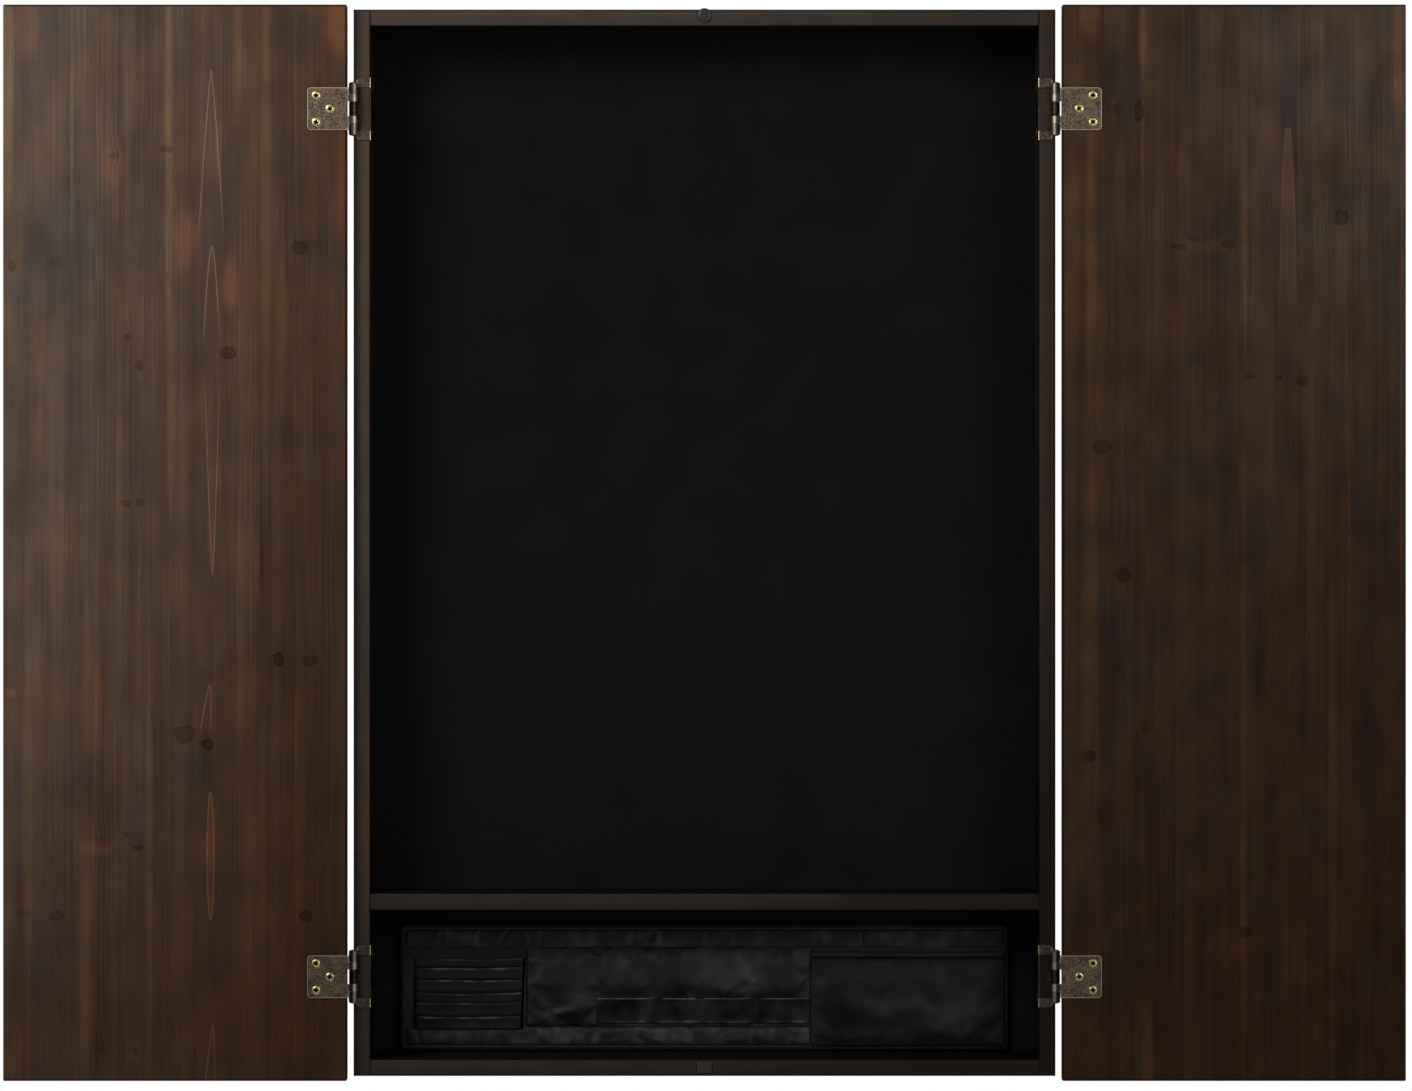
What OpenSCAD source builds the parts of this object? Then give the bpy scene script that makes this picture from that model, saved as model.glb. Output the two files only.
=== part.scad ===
// Dart board cabinet: a wall-hung case with a board bay, a shelf, a lower bay with a soft
// organizer, and two doors on wrap hinges, shown with both doors open flat.
// The wall is the plane y = 0 and the front faces -y. The origin lies on the wall, midway
// between the round entries of the two keyhole plates.

/* [Case] */
// Width across the two sides
case_w = 562; // [540:1:680]
// Height over the top and bottom boards
case_h = 854; // [700:1:1040]
// Depth from the wall to the front edges
case_d = 88; // [73:1:130]
// Thickness of the case boards and the shelf
board_t = 13; // [11:0.5:18]
// Height of the bay under the shelf
lower_bay_h = 120; // [100:1:200]
// Rounding of the outer front edges
outer_edge_r = 2.5; // [1:0.5:4]
// Rounding of the inner front edges
inner_edge_r = 1; // [0.5:0.5:2]

/* [Back] */
// Thickness of the back panel
panel_t = 3; // [3:0.5:6]
// Depth of the groove that holds the back panel
groove_depth = 6; // [4:0.5:8]
// Play of the back panel in front of it in its groove
groove_clear = 0.1; // [0.05:0.05:0.3]
// Space left past each edge of the back panel in its groove
panel_edge_gap = 0.5; // [0.2:0.1:1]
// Thickness of the two rails behind the back panel
rail_t = 12; // [10:0.5:18]
// Height of the hanging rail below the keyhole plates
rail_margin = 9; // [4:1:30]
// Height of the lower rail
lower_rail_h = 40; // [30:1:80]

/* [Dowels] */
// Diameter of the dowels
dowel_d = 6; // [5:1:8]
// Length of the dowels
dowel_l = 24; // [20:1:30]
// Length of a dowel that sits in a side
dowel_in_side = 7.5; // [5:0.5:8]
// Radial play of a dowel in its hole
dowel_clear = 0.05; // [0.02:0.01:0.1]
// Space left past each end of a dowel
dowel_end_gap = 0.5; // [0.2:0.1:1]
// Distance of the front dowels from the front edges
front_dowel_inset = 20; // [12:1:24]
// Distance between the front and back dowels of a board
dowel_pitch = 32; // [16:1:34]
// Distance between the two dowels at a rail's end
rail_dowel_pitch = 18; // [12:1:18]

/* [Wall hangers] */
// Distance between the two keyholes
hanger_spacing = 406.4; // [300:0.1:440]
// Distance of the keyholes below the top of the case
hanger_drop = 48; // [40:1:80]
// Radius of a keyhole's round entry
entry_r = 5; // [4.5:0.1:5.5]
// Radius of a keyhole's slot
slot_r = 2.5; // [2:0.1:3]
// Height of the slot's end above the round entry
slot_l = 10; // [8:0.5:14]
// Width of a keyhole plate
plate_w = 18; // [16:1:24]
// Thickness of a keyhole plate
plate_t = 1.5; // [1:0.1:2]
// Length of a keyhole plate past the head's room, above and below
plate_end = 9.5; // [8:0.5:12]
// Play around a keyhole plate in its recess
plate_clear = 0.1; // [0.05:0.05:0.3]
// Room for the wall screw's head beside the slot
head_room_r = 6.5; // [5.5:0.1:8]
// Depth of that room behind the keyhole plate
head_room_d = 7; // [5:0.5:8]
// Distance of a plate screw from the plate's end
plate_screw_inset = 5; // [4:0.5:6]

/* [Doors] */
// Thickness of the doors
door_t = 13; // [11:0.5:18]
// Height that each door reaches past the case, above and below
door_overhang = 3.5; // [0:0.5:8]
// Gap between the closed doors
meeting_gap = 2; // [1:0.5:4]
// Distance from the hinge pin to the door's edge
edge_to_pin = 5; // [4:0.5:8]
// Rounding of the door's edges
door_edge_r = 1.5; // [0.5:0.5:3]

/* [Hinges] */
// Distance from the case's top or bottom to the middle of a hinge
hinge_inset = 80; // [60:1:105]
// Thickness of the hinge's sheet
leaf_t = 1.4; // [1:0.1:1.6]
// Diameter of the hinge pin
pin_d = 4.1; // [3.5:0.1:4.5]
// Radial play of the pin
pin_clear = 0.05; // [0.02:0.01:0.1]
// Gap along the pin between two knuckles
knuckle_gap = 0.3; // [0.1:0.1:0.5]
// Length of the spring sleeve in the middle
sleeve_l = 11; // [9:0.5:12]
// Length of each knuckle of the door leaf
door_knuckle_l = 5.9; // [5:0.1:6.5]
// Height of the pin's domed caps
pin_cap_h = 1.2; // [0.8:0.1:1.6]
// Distance of a cap's rim inside the barrel's outline
cap_inset = 0.3; // [0:0.1:1]
// Thickness of the spring strip
spring_t = 0.6; // [0.4:0.1:0.8]
// Reach of the spring's tail from the pin
spring_tail = 7.1; // [6:0.1:8]
// Height of the spring's tail
spring_tail_h = 8.4; // [6:0.1:9]
// Gap between the closed door leaf and the spring's tail
leaf_clear = 0.1; // [0.1:0.05:0.3]
// Gap between the door leaf's plate and the barrel
leaf_gap = 0.25; // [0.1:0.05:0.5]
// Reach of the door leaf's plate from the pin
leaf_end = 36.6; // [31:0.1:44]
// Height of the door leaf's plate
leaf_h = 34; // [30:0.5:42]
// Corner radius of the leaves
leaf_corner_r = 3; // [1:0.5:4]
// Height of each tab that the frame leaf has on the front edge
tab_h = 7.4; // [6:0.1:9]
// Height of the slanting end of a tab past the barrel
tab_chamfer = 4.3; // [3:0.1:5]
// Gap between the closed door leaf and a tab
tab_clear = 0.4; // [0.2:0.1:0.8]
// Reach of the frame leaf on the side's inner face
wrap_d = 17; // [15:0.5:20]

/* [Hinge screws] */
// Diameter of a screw's shank
screw_d = 3.2; // [2.6:0.1:3.4]
// Diameter of a screw's head
head_d = 7.2; // [6:0.1:7.4]
// Length of a screw under its sheet
screw_l = 9; // [7:0.5:9.5]
// Height of the domed head over the sheet
head_dome = 0.7; // [0.4:0.1:0.7]
// Radial play of a screw in its holes
screw_clear = 0.05; // [0.02:0.01:0.1]
// Distance of the outer door screws from the leaf's outer edge
outer_screw_inset = 7; // [5:0.5:8]
// Distance of the middle door screw from the leaf's outer edge
middle_screw_inset = 18; // [16:0.5:19]
// Distance of the outer door screws from the leaf's top or bottom
outer_screw_end = 6.3; // [5:0.1:8]
// Distance of the frame screws from the leaf's top or bottom
frame_screw_end = 7.2; // [6:0.1:9]
// Distance of the frame screws behind the front edges
frame_screw_inset = 9; // [7:0.5:11]

/* [Bumpers] */
// Diameter of the round top bumper
top_bumper_d = 12; // [8:0.5:13]
// Height of the top bumper's centre over the middle of the top board
top_bumper_rise = 1.4; // [0:0.1:2]
// Height of the bottom bumper's centre over the middle of the bottom board
bottom_bumper_rise = 0.8; // [0:0.1:1.5]
// Width of the bottom bumper
bottom_bumper_w = 13; // [8:0.5:16]
// Height of the bottom bumper
bottom_bumper_h = 10; // [6:0.5:11]
// Gap between a closed door and a bumper
bumper_clear = 0.1; // [0.05:0.05:0.5]

/* [Organizer] */
// Space between the organizer and each side
org_side_gap = 21.5; // [5:0.5:30]
// Space between the organizer and the shelf
org_top_gap = 15.4; // [5:0.1:20]
// Height of the organizer over the bottom board
org_lift = 2.6; // [1:0.1:4]
// Thickness of the nylon sheet
sheet_t = 1.2; // [0.8:0.1:1.6]
// Thickness of each half of the hook and loop tape
tape_t = 1.2; // [0.8:0.1:1.6]
// Height of each strip of tape
tape_h = 20; // [10:1:25]
// Gap between two soft pieces
soft_gap = 0.3; // [0.2:0.1:0.5]
// Width of the edge binding
binding_w = 4; // [3:0.5:6]
// Height of the header band
header_h = 15; // [12:0.5:20]
// Thickness of the folded bands
band_t = 2; // [1.5:0.1:3]
// Width of the card slots
card_w = 92; // [86:1:100]
// Space between the card slots and the header band
card_drop = 5.5; // [1:0.1:10]
// Space between the card slots and the bottom band
card_lift = 2; // [0.5:0.1:6]
// Thickness of the stacked card slots
card_t = 4; // [3:0.1:5]
// Distance of the card slots from the left edge
card_inset = 8; // [6:0.5:12]
// Number of small pockets
small_pockets = 4; // [2:1:5]
// Width of one small pocket
small_pocket_w = 43.6; // [30:0.1:46]
// Height of the small pockets
small_pocket_h = 20; // [16:0.5:24]
// Depth of the small pockets
small_pocket_d = 6.7; // [5.5:0.1:9]
// Height of the bottom band
bottom_band_h = 14; // [10:0.5:18]
// Gap between the small pockets and the bottom band
pocket_lift = 4; // [1:0.5:6]
// Width of the large pocket
large_pocket_w = 154; // [100:1:156]
// Space between the large pocket's mouth and the header band
mouth_drop = 2.4; // [1:0.1:20]
// Depth of the large pocket
large_pocket_d = 7.7; // [6:0.1:10]

/* [Hidden] */
$fn = 64;

pine_dark = "#3a332e";
pine_door = "#4a3428";
bronze = "#6b5b42";

inner_x = case_w / 2 - board_t;
inner_w = 2 * inner_x;
case_top = hanger_drop;
case_bottom = case_top - case_h;
bay_top = case_top - board_t;
bay_bottom = case_bottom + board_t;
front_y = -case_d;
panel_back_y = -rail_t;
panel_front_y = panel_back_y - panel_t;
shelf_z = bay_bottom + lower_bay_h;

bore_r = pin_d / 2 + pin_clear;
barrel_r = bore_r + leaf_t;
pin_x = case_w / 2;
pin_y = front_y - barrel_r;
door_gap = leaf_t + spring_t + leaf_clear;
door_face = barrel_r - door_gap;
door_w = pin_x - edge_to_pin - meeting_gap / 2;
door_h = case_h + 2 * door_overhang;
bumper_t = door_gap - bumper_clear;
bumper_corner_r = 2;

door_knuckle_z = sleeve_l / 2 + knuckle_gap;
frame_knuckle_z = door_knuckle_z + door_knuckle_l + knuckle_gap;
window_z = leaf_h / 2 + tab_clear;
leaf_start = sqrt(pow(barrel_r + leaf_gap, 2) - pow(door_face, 2));
leaf_w = leaf_end - leaf_start;
frame_leaf_h = 2 * (window_z + tab_h);
barrel_l = frame_leaf_h - 2 * tab_chamfer;
stile_x = -board_t;
cap_r = barrel_r - cap_inset;

sheet_neck_r = screw_d / 2 + 0.6;
recess_w = 0.9;
recess_share = 0.6;
recess_depth = 1.3;
tip_l = 2;
tip_share = 0.25;
hole_end_gap = 0.5;
over = 1;

plate_corner_r = 3;
plate_head_r = 2.9;
plate_shank_r = 1.3;
plate_screw_l = 8;
plate_above = slot_l + head_room_r + plate_end;
plate_below = head_room_r + plate_end;
plate_mid_z = (plate_above - plate_below) / 2;
hanging_rail_h = bay_top + plate_below + rail_margin;

back_y = panel_front_y - 2 * tape_t - soft_gap;
pocket_y = back_y - sheet_t - soft_gap;
org_w = inner_w - 2 * org_side_gap;
org_bottom = bay_bottom + org_lift;
org_top = shelf_z - org_top_gap;
field_x = org_w / 2 - binding_w - soft_gap;
field_bottom = org_bottom + binding_w + soft_gap;
field_top = org_top - binding_w - soft_gap;
header_bottom = field_top - header_h;
large_pocket_x = field_x - large_pocket_w;
small_pockets_x = large_pocket_x - soft_gap - small_pockets * small_pocket_w;
small_pockets_z = field_bottom + bottom_band_h + pocket_lift;
card_x = -org_w / 2 + card_inset;
card_z = field_bottom + bottom_band_h + card_lift;
card_h = header_bottom - card_drop - card_z;
large_pocket_h = header_bottom - mouth_drop - field_bottom;
tape_w = org_w - 4 * binding_w;

HINGES = [
    ["left_upper", -1, case_top - hinge_inset],
    ["left_lower", -1, case_bottom + hinge_inset],
    ["right_upper", 1, case_top - hinge_inset],
    ["right_lower", 1, case_bottom + hinge_inset]
];
HINGE_PARTS = ["_frame_leaf", "_door_leaf", "_pin", "_closing_spring"];

// Shapes shared by several pieces

// Mirrors a right-hand piece to the left
module on_side(side) {
    if (side < 0)
        mirror([1, 0, 0]) children();
    else
        children();
}

// A box from one corner to the opposite one
module box_between(low, high) {
    translate(low) cube(high - low);
}

// An outline drawn in y and z, made thick along +x
module along_x(length) {
    rotate([90, 0, 90]) linear_extrude(length) children();
}

// An outline drawn in x and z, made thick along -y
module to_front(thick) {
    rotate([90, 0, 0]) linear_extrude(thick) children();
}

// What rounding takes off a corner at the origin
module corner_waste(r) {
    difference() {
        translate([-over, -over]) square(r + over);
        translate([r, r]) circle(r);
    }
}

// A board's section: the front edge is at x = 0, with a rounding at each of its corners
module board_section(depth, thick, low_r, high_r) {
    difference() {
        square([depth, thick]);
        corner_waste(low_r);
        translate([0, thick]) mirror([0, 1]) corner_waste(high_r);
    }
}

// A centred rectangle with round corners
module round_rect(w, h, r) {
    square([w - 2 * r, h], center = true);
    square([w, h - 2 * r], center = true);
    for (x = [-1, 1], y = [-1, 1])
        translate([x * (w / 2 - r), y * (h / 2 - r)]) circle(r);
}

// A round cap of height h on a base of radius r
module dome(r, h) {
    ball_r = (r * r + h * h) / (2 * h);
    intersection() {
        translate([0, 0, h - ball_r]) sphere(ball_r);
        cylinder(h = h, r = r);
    }
}

// A countersunk wood screw along -z. Its head fills a sheet whose outer face is z = 0
module wood_screw(head_r, neck_r, shank_r, sheet, length, dome_h) {
    difference() {
        union() {
            translate([0, 0, -sheet]) cylinder(h = sheet, r1 = neck_r, r2 = head_r);
            translate([0, 0, tip_l - length - sheet]) cylinder(h = length - tip_l, r = shank_r);
            translate([0, 0, -length - sheet])
                cylinder(h = tip_l, r1 = tip_share * shank_r, r2 = shank_r);
            if (dome_h > 0)
                dome(head_r, dome_h);
        }
        for (a = [0, 90])
            rotate(a) translate([0, 0, dome_h])
                cube([2 * recess_share * head_r, recess_w, 2 * recess_depth], center = true);
    }
}

// The countersunk hole for that screw, through its sheet and into what is behind
module screw_hole(head_r, neck_r, shank_r, sheet, length) {
    translate([0, 0, -sheet])
        cylinder(h = sheet, r1 = neck_r + screw_clear, r2 = head_r + screw_clear);
    translate([0, 0, -length - sheet - hole_end_gap])
        cylinder(h = length + hole_end_gap + sheet / 2, r = shank_r + screw_clear);
}

module hinge_screw() {
    wood_screw(head_d / 2, sheet_neck_r, screw_d / 2, leaf_t, screw_l, head_dome);
}

module hinge_screw_hole() {
    screw_hole(head_d / 2, sheet_neck_r, screw_d / 2, leaf_t, screw_l);
}

module plate_screw() {
    wood_screw(plate_head_r, plate_shank_r, plate_shank_r, plate_t, plate_screw_l, 0);
}

module plate_screw_hole() {
    screw_hole(plate_head_r, plate_shank_r, plate_shank_r, plate_t, plate_screw_l);
}

// Places shared by a fastener and its holes

module at_hinge(side, z) {
    on_side(side) translate([pin_x, pin_y, z]) children();
}

module at_side_hinges(side) {
    for (h = HINGES)
        if (h[1] == side)
            at_hinge(side, h[2]) children();
}

// The three door screws of a hinge, heads to the front
module at_door_screws() {
    outer_z = leaf_h / 2 - outer_screw_end;
    places = [
        [leaf_end - outer_screw_inset, outer_z],
        [leaf_end - outer_screw_inset, -outer_z],
        [leaf_end - middle_screw_inset, 0]
    ];
    for (p = places)
        translate([p[0], -door_face - leaf_t, p[1]]) rotate([90, 0, 0]) children();
}

// The two frame screws of a hinge, heads to the middle of the case
module at_frame_screws() {
    screw_z = frame_leaf_h / 2 - frame_screw_end;
    for (z = [-screw_z, screw_z])
        translate([stile_x - leaf_t, barrel_r + frame_screw_inset, z])
            rotate([0, -90, 0]) children();
}

module at_keyholes() {
    for (side = [-1, 1])
        translate([side * hanger_spacing / 2, 0, 0]) children();
}

// The two screws of a keyhole plate, heads to the wall
module at_plate_screws() {
    for (z = [plate_above - plate_screw_inset, plate_screw_inset - plate_below])
        translate([0, 0, z]) rotate([-90, 0, 0]) children();
}

// A dowel across the joint between a side and a board's end
module dowel(play, end_gap) {
    for (side = [-1, 1])
        on_side(side)
            translate([inner_x + dowel_in_side + end_gap, 0, 0]) rotate([0, -90, 0])
                cylinder(h = dowel_l + 2 * end_gap, r = dowel_d / 2 + play);
}

module at_board_dowels(z) {
    for (i = [0, 1])
        translate([0, front_y + front_dowel_inset + i * dowel_pitch, z]) children();
}

module at_case_dowels() {
    at_board_dowels(bay_top + board_t / 2) children();
    at_board_dowels(case_bottom + board_t / 2) children();
}

module at_rail_dowels() {
    for (z = [bay_top - hanging_rail_h / 2, bay_bottom + lower_rail_h / 2], i = [-1, 1])
        translate([0, -rail_t / 2, z + i * rail_dowel_pitch / 2]) children();
}

module dowel_holes() {
    at_case_dowels() dowel(dowel_clear, dowel_end_gap);
    at_board_dowels(shelf_z + board_t / 2) dowel(dowel_clear, dowel_end_gap);
    at_rail_dowels() dowel(dowel_clear, dowel_end_gap);
}

// The groove that runs round the inside of the case for the back panel
module panel_groove() {
    box_between(
        [-inner_x - groove_depth, panel_front_y - groove_clear, bay_bottom - groove_depth],
        [inner_x + groove_depth, panel_back_y, bay_top + groove_depth]
    );
}

// Case

module cross_board(z, low_r, high_r, depth) {
    difference() {
        translate([-inner_x, front_y, z])
            along_x(inner_w) board_section(depth, board_t, low_r, high_r);
        dowel_holes();
    }
}

module top_board() {
    color(pine_dark) difference() {
        cross_board(bay_top, inner_edge_r, outer_edge_r, case_d);
        panel_groove();
    }
}

module bottom_board() {
    color(pine_dark) difference() {
        cross_board(case_bottom, outer_edge_r, inner_edge_r, case_d);
        panel_groove();
    }
}

module shelf() {
    color(pine_dark) cross_board(shelf_z, inner_edge_r, inner_edge_r, panel_front_y - front_y);
}

module side_board(side) {
    difference() {
        on_side(side) intersection() {
            translate([inner_x, front_y, case_bottom]) mirror([1, -1, 0])
                linear_extrude(case_h) board_section(case_d, board_t, inner_edge_r, outer_edge_r);
            translate([inner_x, front_y, case_bottom])
                along_x(board_t) board_section(case_d, case_h, outer_edge_r, outer_edge_r);
        }
        dowel_holes();
        panel_groove();
        at_side_hinges(side) at_frame_screws() hinge_screw_hole();
    }
}

module left_side() {
    color(pine_dark) side_board(-1);
}

module right_side() {
    color(pine_dark) side_board(1);
}

module back_panel() {
    reach = groove_depth - panel_edge_gap;
    color("#101010") box_between(
        [-inner_x - reach, panel_front_y, bay_bottom - reach],
        [inner_x + reach, panel_back_y, bay_top + reach]
    );
}

module hanging_rail() {
    color(pine_dark) difference() {
        box_between([-inner_x, panel_back_y, bay_top - hanging_rail_h], [inner_x, 0, bay_top]);
        at_rail_dowels() dowel(dowel_clear, dowel_end_gap);
        at_keyholes() {
            translate([0, 0, plate_mid_z]) to_front(plate_t) round_rect(
                plate_w + 2 * plate_clear,
                plate_above + plate_below + 2 * plate_clear,
                plate_corner_r + plate_clear
            );
            to_front(plate_t + head_room_d) {
                circle(head_room_r);
                translate([-head_room_r, 0]) square([2 * head_room_r, slot_l]);
                translate([0, slot_l]) circle(head_room_r);
            }
            at_plate_screws() plate_screw_hole();
        }
    }
}

module lower_rail() {
    color(pine_dark) difference() {
        box_between([-inner_x, panel_back_y, bay_bottom], [inner_x, 0, bay_bottom + lower_rail_h]);
        at_rail_dowels() dowel(dowel_clear, dowel_end_gap);
    }
}

module case_dowels() {
    color("#c9a877") at_case_dowels() dowel(0, 0);
}

module shelf_dowels() {
    color("#c9a877") at_board_dowels(shelf_z + board_t / 2) dowel(0, 0);
}

module rail_dowels() {
    color("#c9a877") at_rail_dowels() dowel(0, 0);
}

module keyhole_plate(side) {
    color("#a8a8a8") translate([side * hanger_spacing / 2, 0, 0]) difference() {
        translate([0, 0, plate_mid_z])
            to_front(plate_t) round_rect(plate_w, plate_above + plate_below, plate_corner_r);
        translate([0, plate_t, 0]) to_front(3 * plate_t) {
            circle(entry_r);
            translate([-slot_r, 0]) square([2 * slot_r, slot_l]);
            translate([0, slot_l]) circle(slot_r);
        }
        at_plate_screws() plate_screw_hole();
    }
}

module left_keyhole_plate() {
    keyhole_plate(-1);
}

module right_keyhole_plate() {
    keyhole_plate(1);
}

module keyhole_screws() {
    color("#b8b8b8") at_keyholes() at_plate_screws() plate_screw();
}

module top_bumper() {
    color("#4a4844") translate([0, front_y, bay_top + board_t / 2 + top_bumper_rise])
        to_front(bumper_t) circle(top_bumper_d / 2);
}

module bottom_bumper() {
    color("#4a4844") translate([0, front_y, case_bottom + board_t / 2 + bottom_bumper_rise])
        to_front(bumper_t) round_rect(bottom_bumper_w, bottom_bumper_h, bumper_corner_r);
}

// Hinges, drawn for the right side with the pin on the z axis and the stile at -x

module knuckle(z, length, r) {
    for (end = [-1, 1])
        translate([0, 0, end * (z + length / 2) - length / 2]) cylinder(h = length, r = r);
}

module pin_bore() {
    translate([0, 0, -frame_leaf_h]) cylinder(h = 2 * frame_leaf_h, r = bore_r);
}

// Places past the two ends of the barrel
module at_barrel_ends() {
    for (end = [0, 1])
        mirror([0, 0, end]) translate([0, 0, barrel_l / 2]) children();
}

// One tab: its plate on the stile's front edge, and the bend round the stile's inner edge
module frame_tab() {
    translate([0, barrel_r, 0]) to_front(leaf_t) polygon([
        [0, window_z],
        [0, barrel_l / 2],
        [-tab_chamfer, frame_leaf_h / 2],
        [stile_x, frame_leaf_h / 2],
        [stile_x, window_z]
    ]);
    translate([stile_x, barrel_r, window_z]) linear_extrude(tab_h) intersection() {
        circle(leaf_t);
        translate([-leaf_t, -leaf_t]) square(leaf_t);
    }
}

module frame_leaf() {
    color(bronze) difference() {
        union() {
            knuckle(frame_knuckle_z, barrel_l / 2 - frame_knuckle_z, barrel_r);
            frame_tab();
            mirror([0, 0, 1]) frame_tab();
            translate([stile_x - leaf_t, barrel_r, 0]) along_x(leaf_t) intersection() {
                round_rect(2 * wrap_d, frame_leaf_h, leaf_corner_r);
                translate([0, -frame_leaf_h / 2]) square([wrap_d, frame_leaf_h]);
            }
        }
        pin_bore();
        at_barrel_ends() cylinder(h = frame_leaf_h, r = cap_r + pin_clear);
        at_frame_screws() hinge_screw_hole();
    }
}

module door_leaf() {
    color(bronze) difference() {
        union() {
            knuckle(door_knuckle_z, door_knuckle_l, barrel_r);
            for (end = [-1, 1])
                translate([0, -door_face, end * (door_knuckle_z + door_knuckle_l / 2)])
                    to_front(leaf_t) translate([0, -door_knuckle_l / 2])
                        square([leaf_start + leaf_corner_r, door_knuckle_l]);
            translate([leaf_start, -door_face, 0]) to_front(leaf_t) difference() {
                union() {
                    translate([leaf_w / 2, 0]) round_rect(leaf_w, leaf_h, leaf_corner_r);
                    translate([0, -leaf_h / 2]) square([leaf_w / 2, leaf_h]);
                }
                translate([-over, -door_knuckle_z])
                    square([edge_to_pin - leaf_start + over, 2 * door_knuckle_z]);
            }
        }
        pin_bore();
        at_door_screws() hinge_screw_hole();
    }
}

module hinge_pin() {
    color("#7d7460") {
        cylinder(h = barrel_l, r = pin_d / 2, center = true);
        at_barrel_ends() dome(cap_r, pin_cap_h);
    }
}

module closing_spring() {
    color("#4d4436") difference() {
        union() {
            translate([0, 0, -sleeve_l / 2]) cylinder(h = sleeve_l, r = bore_r + 2 * spring_t);
            translate([-spring_tail, barrel_r - spring_t, -spring_tail_h / 2])
                cube([spring_tail, spring_t, spring_tail_h]);
        }
        pin_bore();
    }
}

module left_frame_screws() {
    color("#b08d4c") at_side_hinges(-1) at_frame_screws() hinge_screw();
}

module right_frame_screws() {
    color("#b08d4c") at_side_hinges(1) at_frame_screws() hinge_screw();
}

// Doors, open flat beside the case with their inner faces to the front

module door_panel(side) {
    mid = [pin_x + edge_to_pin + door_w / 2, pin_y - door_face + door_t / 2, (case_top + case_bottom) / 2];
    color(pine_door) difference() {
        on_side(side) translate(mid) intersection() {
            translate([0, door_t / 2, 0]) to_front(door_t) round_rect(door_w, door_h, door_edge_r);
            translate([0, 0, -door_h / 2]) linear_extrude(door_h) round_rect(door_w, door_t, door_edge_r);
            translate([-door_w / 2, 0, 0]) along_x(door_w) round_rect(door_t, door_h, door_edge_r);
        }
        at_side_hinges(side) at_door_screws() hinge_screw_hole();
    }
}

module left_door_panel() {
    door_panel(-1);
}

module right_door_panel() {
    door_panel(1);
}

module left_door_screws() {
    color("#c9a24f") at_side_hinges(-1) at_door_screws() hinge_screw();
}

module right_door_screws() {
    color("#c9a24f") at_side_hinges(1) at_door_screws() hinge_screw();
}

// Organizer

// Pockets in a row. They have a front, sides and a bottom, but no back and no top
module pocket_row(count, w, h, depth) {
    difference() {
        translate([0, -depth, 0]) cube([count * w, depth, h]);
        for (i = [0:count - 1])
            translate([i * w + sheet_t, sheet_t - depth, sheet_t])
                cube([w - 2 * sheet_t, depth, h]);
    }
}

module organizer_backing() {
    color("#1c1c1c") box_between([-org_w / 2, back_y - sheet_t, org_bottom], [org_w / 2, back_y, org_top]);
}

module organizer_binding() {
    color("#161616") difference() {
        box_between([-org_w / 2, pocket_y - sheet_t, org_bottom], [org_w / 2, pocket_y, org_top]);
        box_between(
            [binding_w - org_w / 2, pocket_y - 2 * sheet_t, org_bottom + binding_w],
            [org_w / 2 - binding_w, pocket_y + sheet_t, org_top - binding_w]
        );
    }
}

module organizer_header() {
    color("#222222")
        box_between([-field_x, pocket_y - band_t, header_bottom], [field_x, pocket_y, field_top]);
}

module organizer_card_slots() {
    color("#242424") translate([card_x, pocket_y - card_t, card_z]) cube([card_w, card_t, card_h]);
}

module organizer_small_pockets() {
    color("#262626") translate([small_pockets_x, pocket_y, small_pockets_z])
        pocket_row(small_pockets, small_pocket_w, small_pocket_h, small_pocket_d);
}

module organizer_bottom_band() {
    color("#202020") box_between(
        [-field_x, pocket_y - band_t, field_bottom],
        [large_pocket_x - soft_gap, pocket_y, field_bottom + bottom_band_h]
    );
}

module organizer_large_pocket() {
    color("#282828") translate([large_pocket_x, pocket_y, field_bottom])
        pocket_row(1, large_pocket_w, large_pocket_h, large_pocket_d);
}

module tape(y) {
    for (z = [field_bottom, field_top - tape_h])
        box_between([-tape_w / 2, y - tape_t, z], [tape_w / 2, y, z + tape_h]);
}

module organizer_hook_tape() {
    color("#0c0c0c") tape(panel_front_y);
}

module organizer_loop_tape() {
    color("#0c0c0c") tape(panel_front_y - tape_t);
}

top_board();
bottom_board();
left_side();
right_side();
shelf();
back_panel();
hanging_rail();
lower_rail();
case_dowels();
shelf_dowels();
rail_dowels();
left_keyhole_plate();
right_keyhole_plate();
keyhole_screws();
top_bumper();
bottom_bumper();
left_frame_screws();
right_frame_screws();
for (h = HINGES) {
    at_hinge(h[1], h[2]) frame_leaf();
    at_hinge(h[1], h[2]) door_leaf();
    at_hinge(h[1], h[2]) hinge_pin();
    at_hinge(h[1], h[2]) closing_spring();
}
left_door_panel();
right_door_panel();
left_door_screws();
right_door_screws();
organizer_backing();
organizer_header();
organizer_card_slots();
organizer_small_pockets();
organizer_bottom_band();
organizer_large_pocket();
organizer_binding();
organizer_hook_tape();
organizer_loop_tape();
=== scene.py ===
import math
from functools import partialmethod

import bmesh
import bpy
import numpy as np
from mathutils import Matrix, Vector, noise


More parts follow.
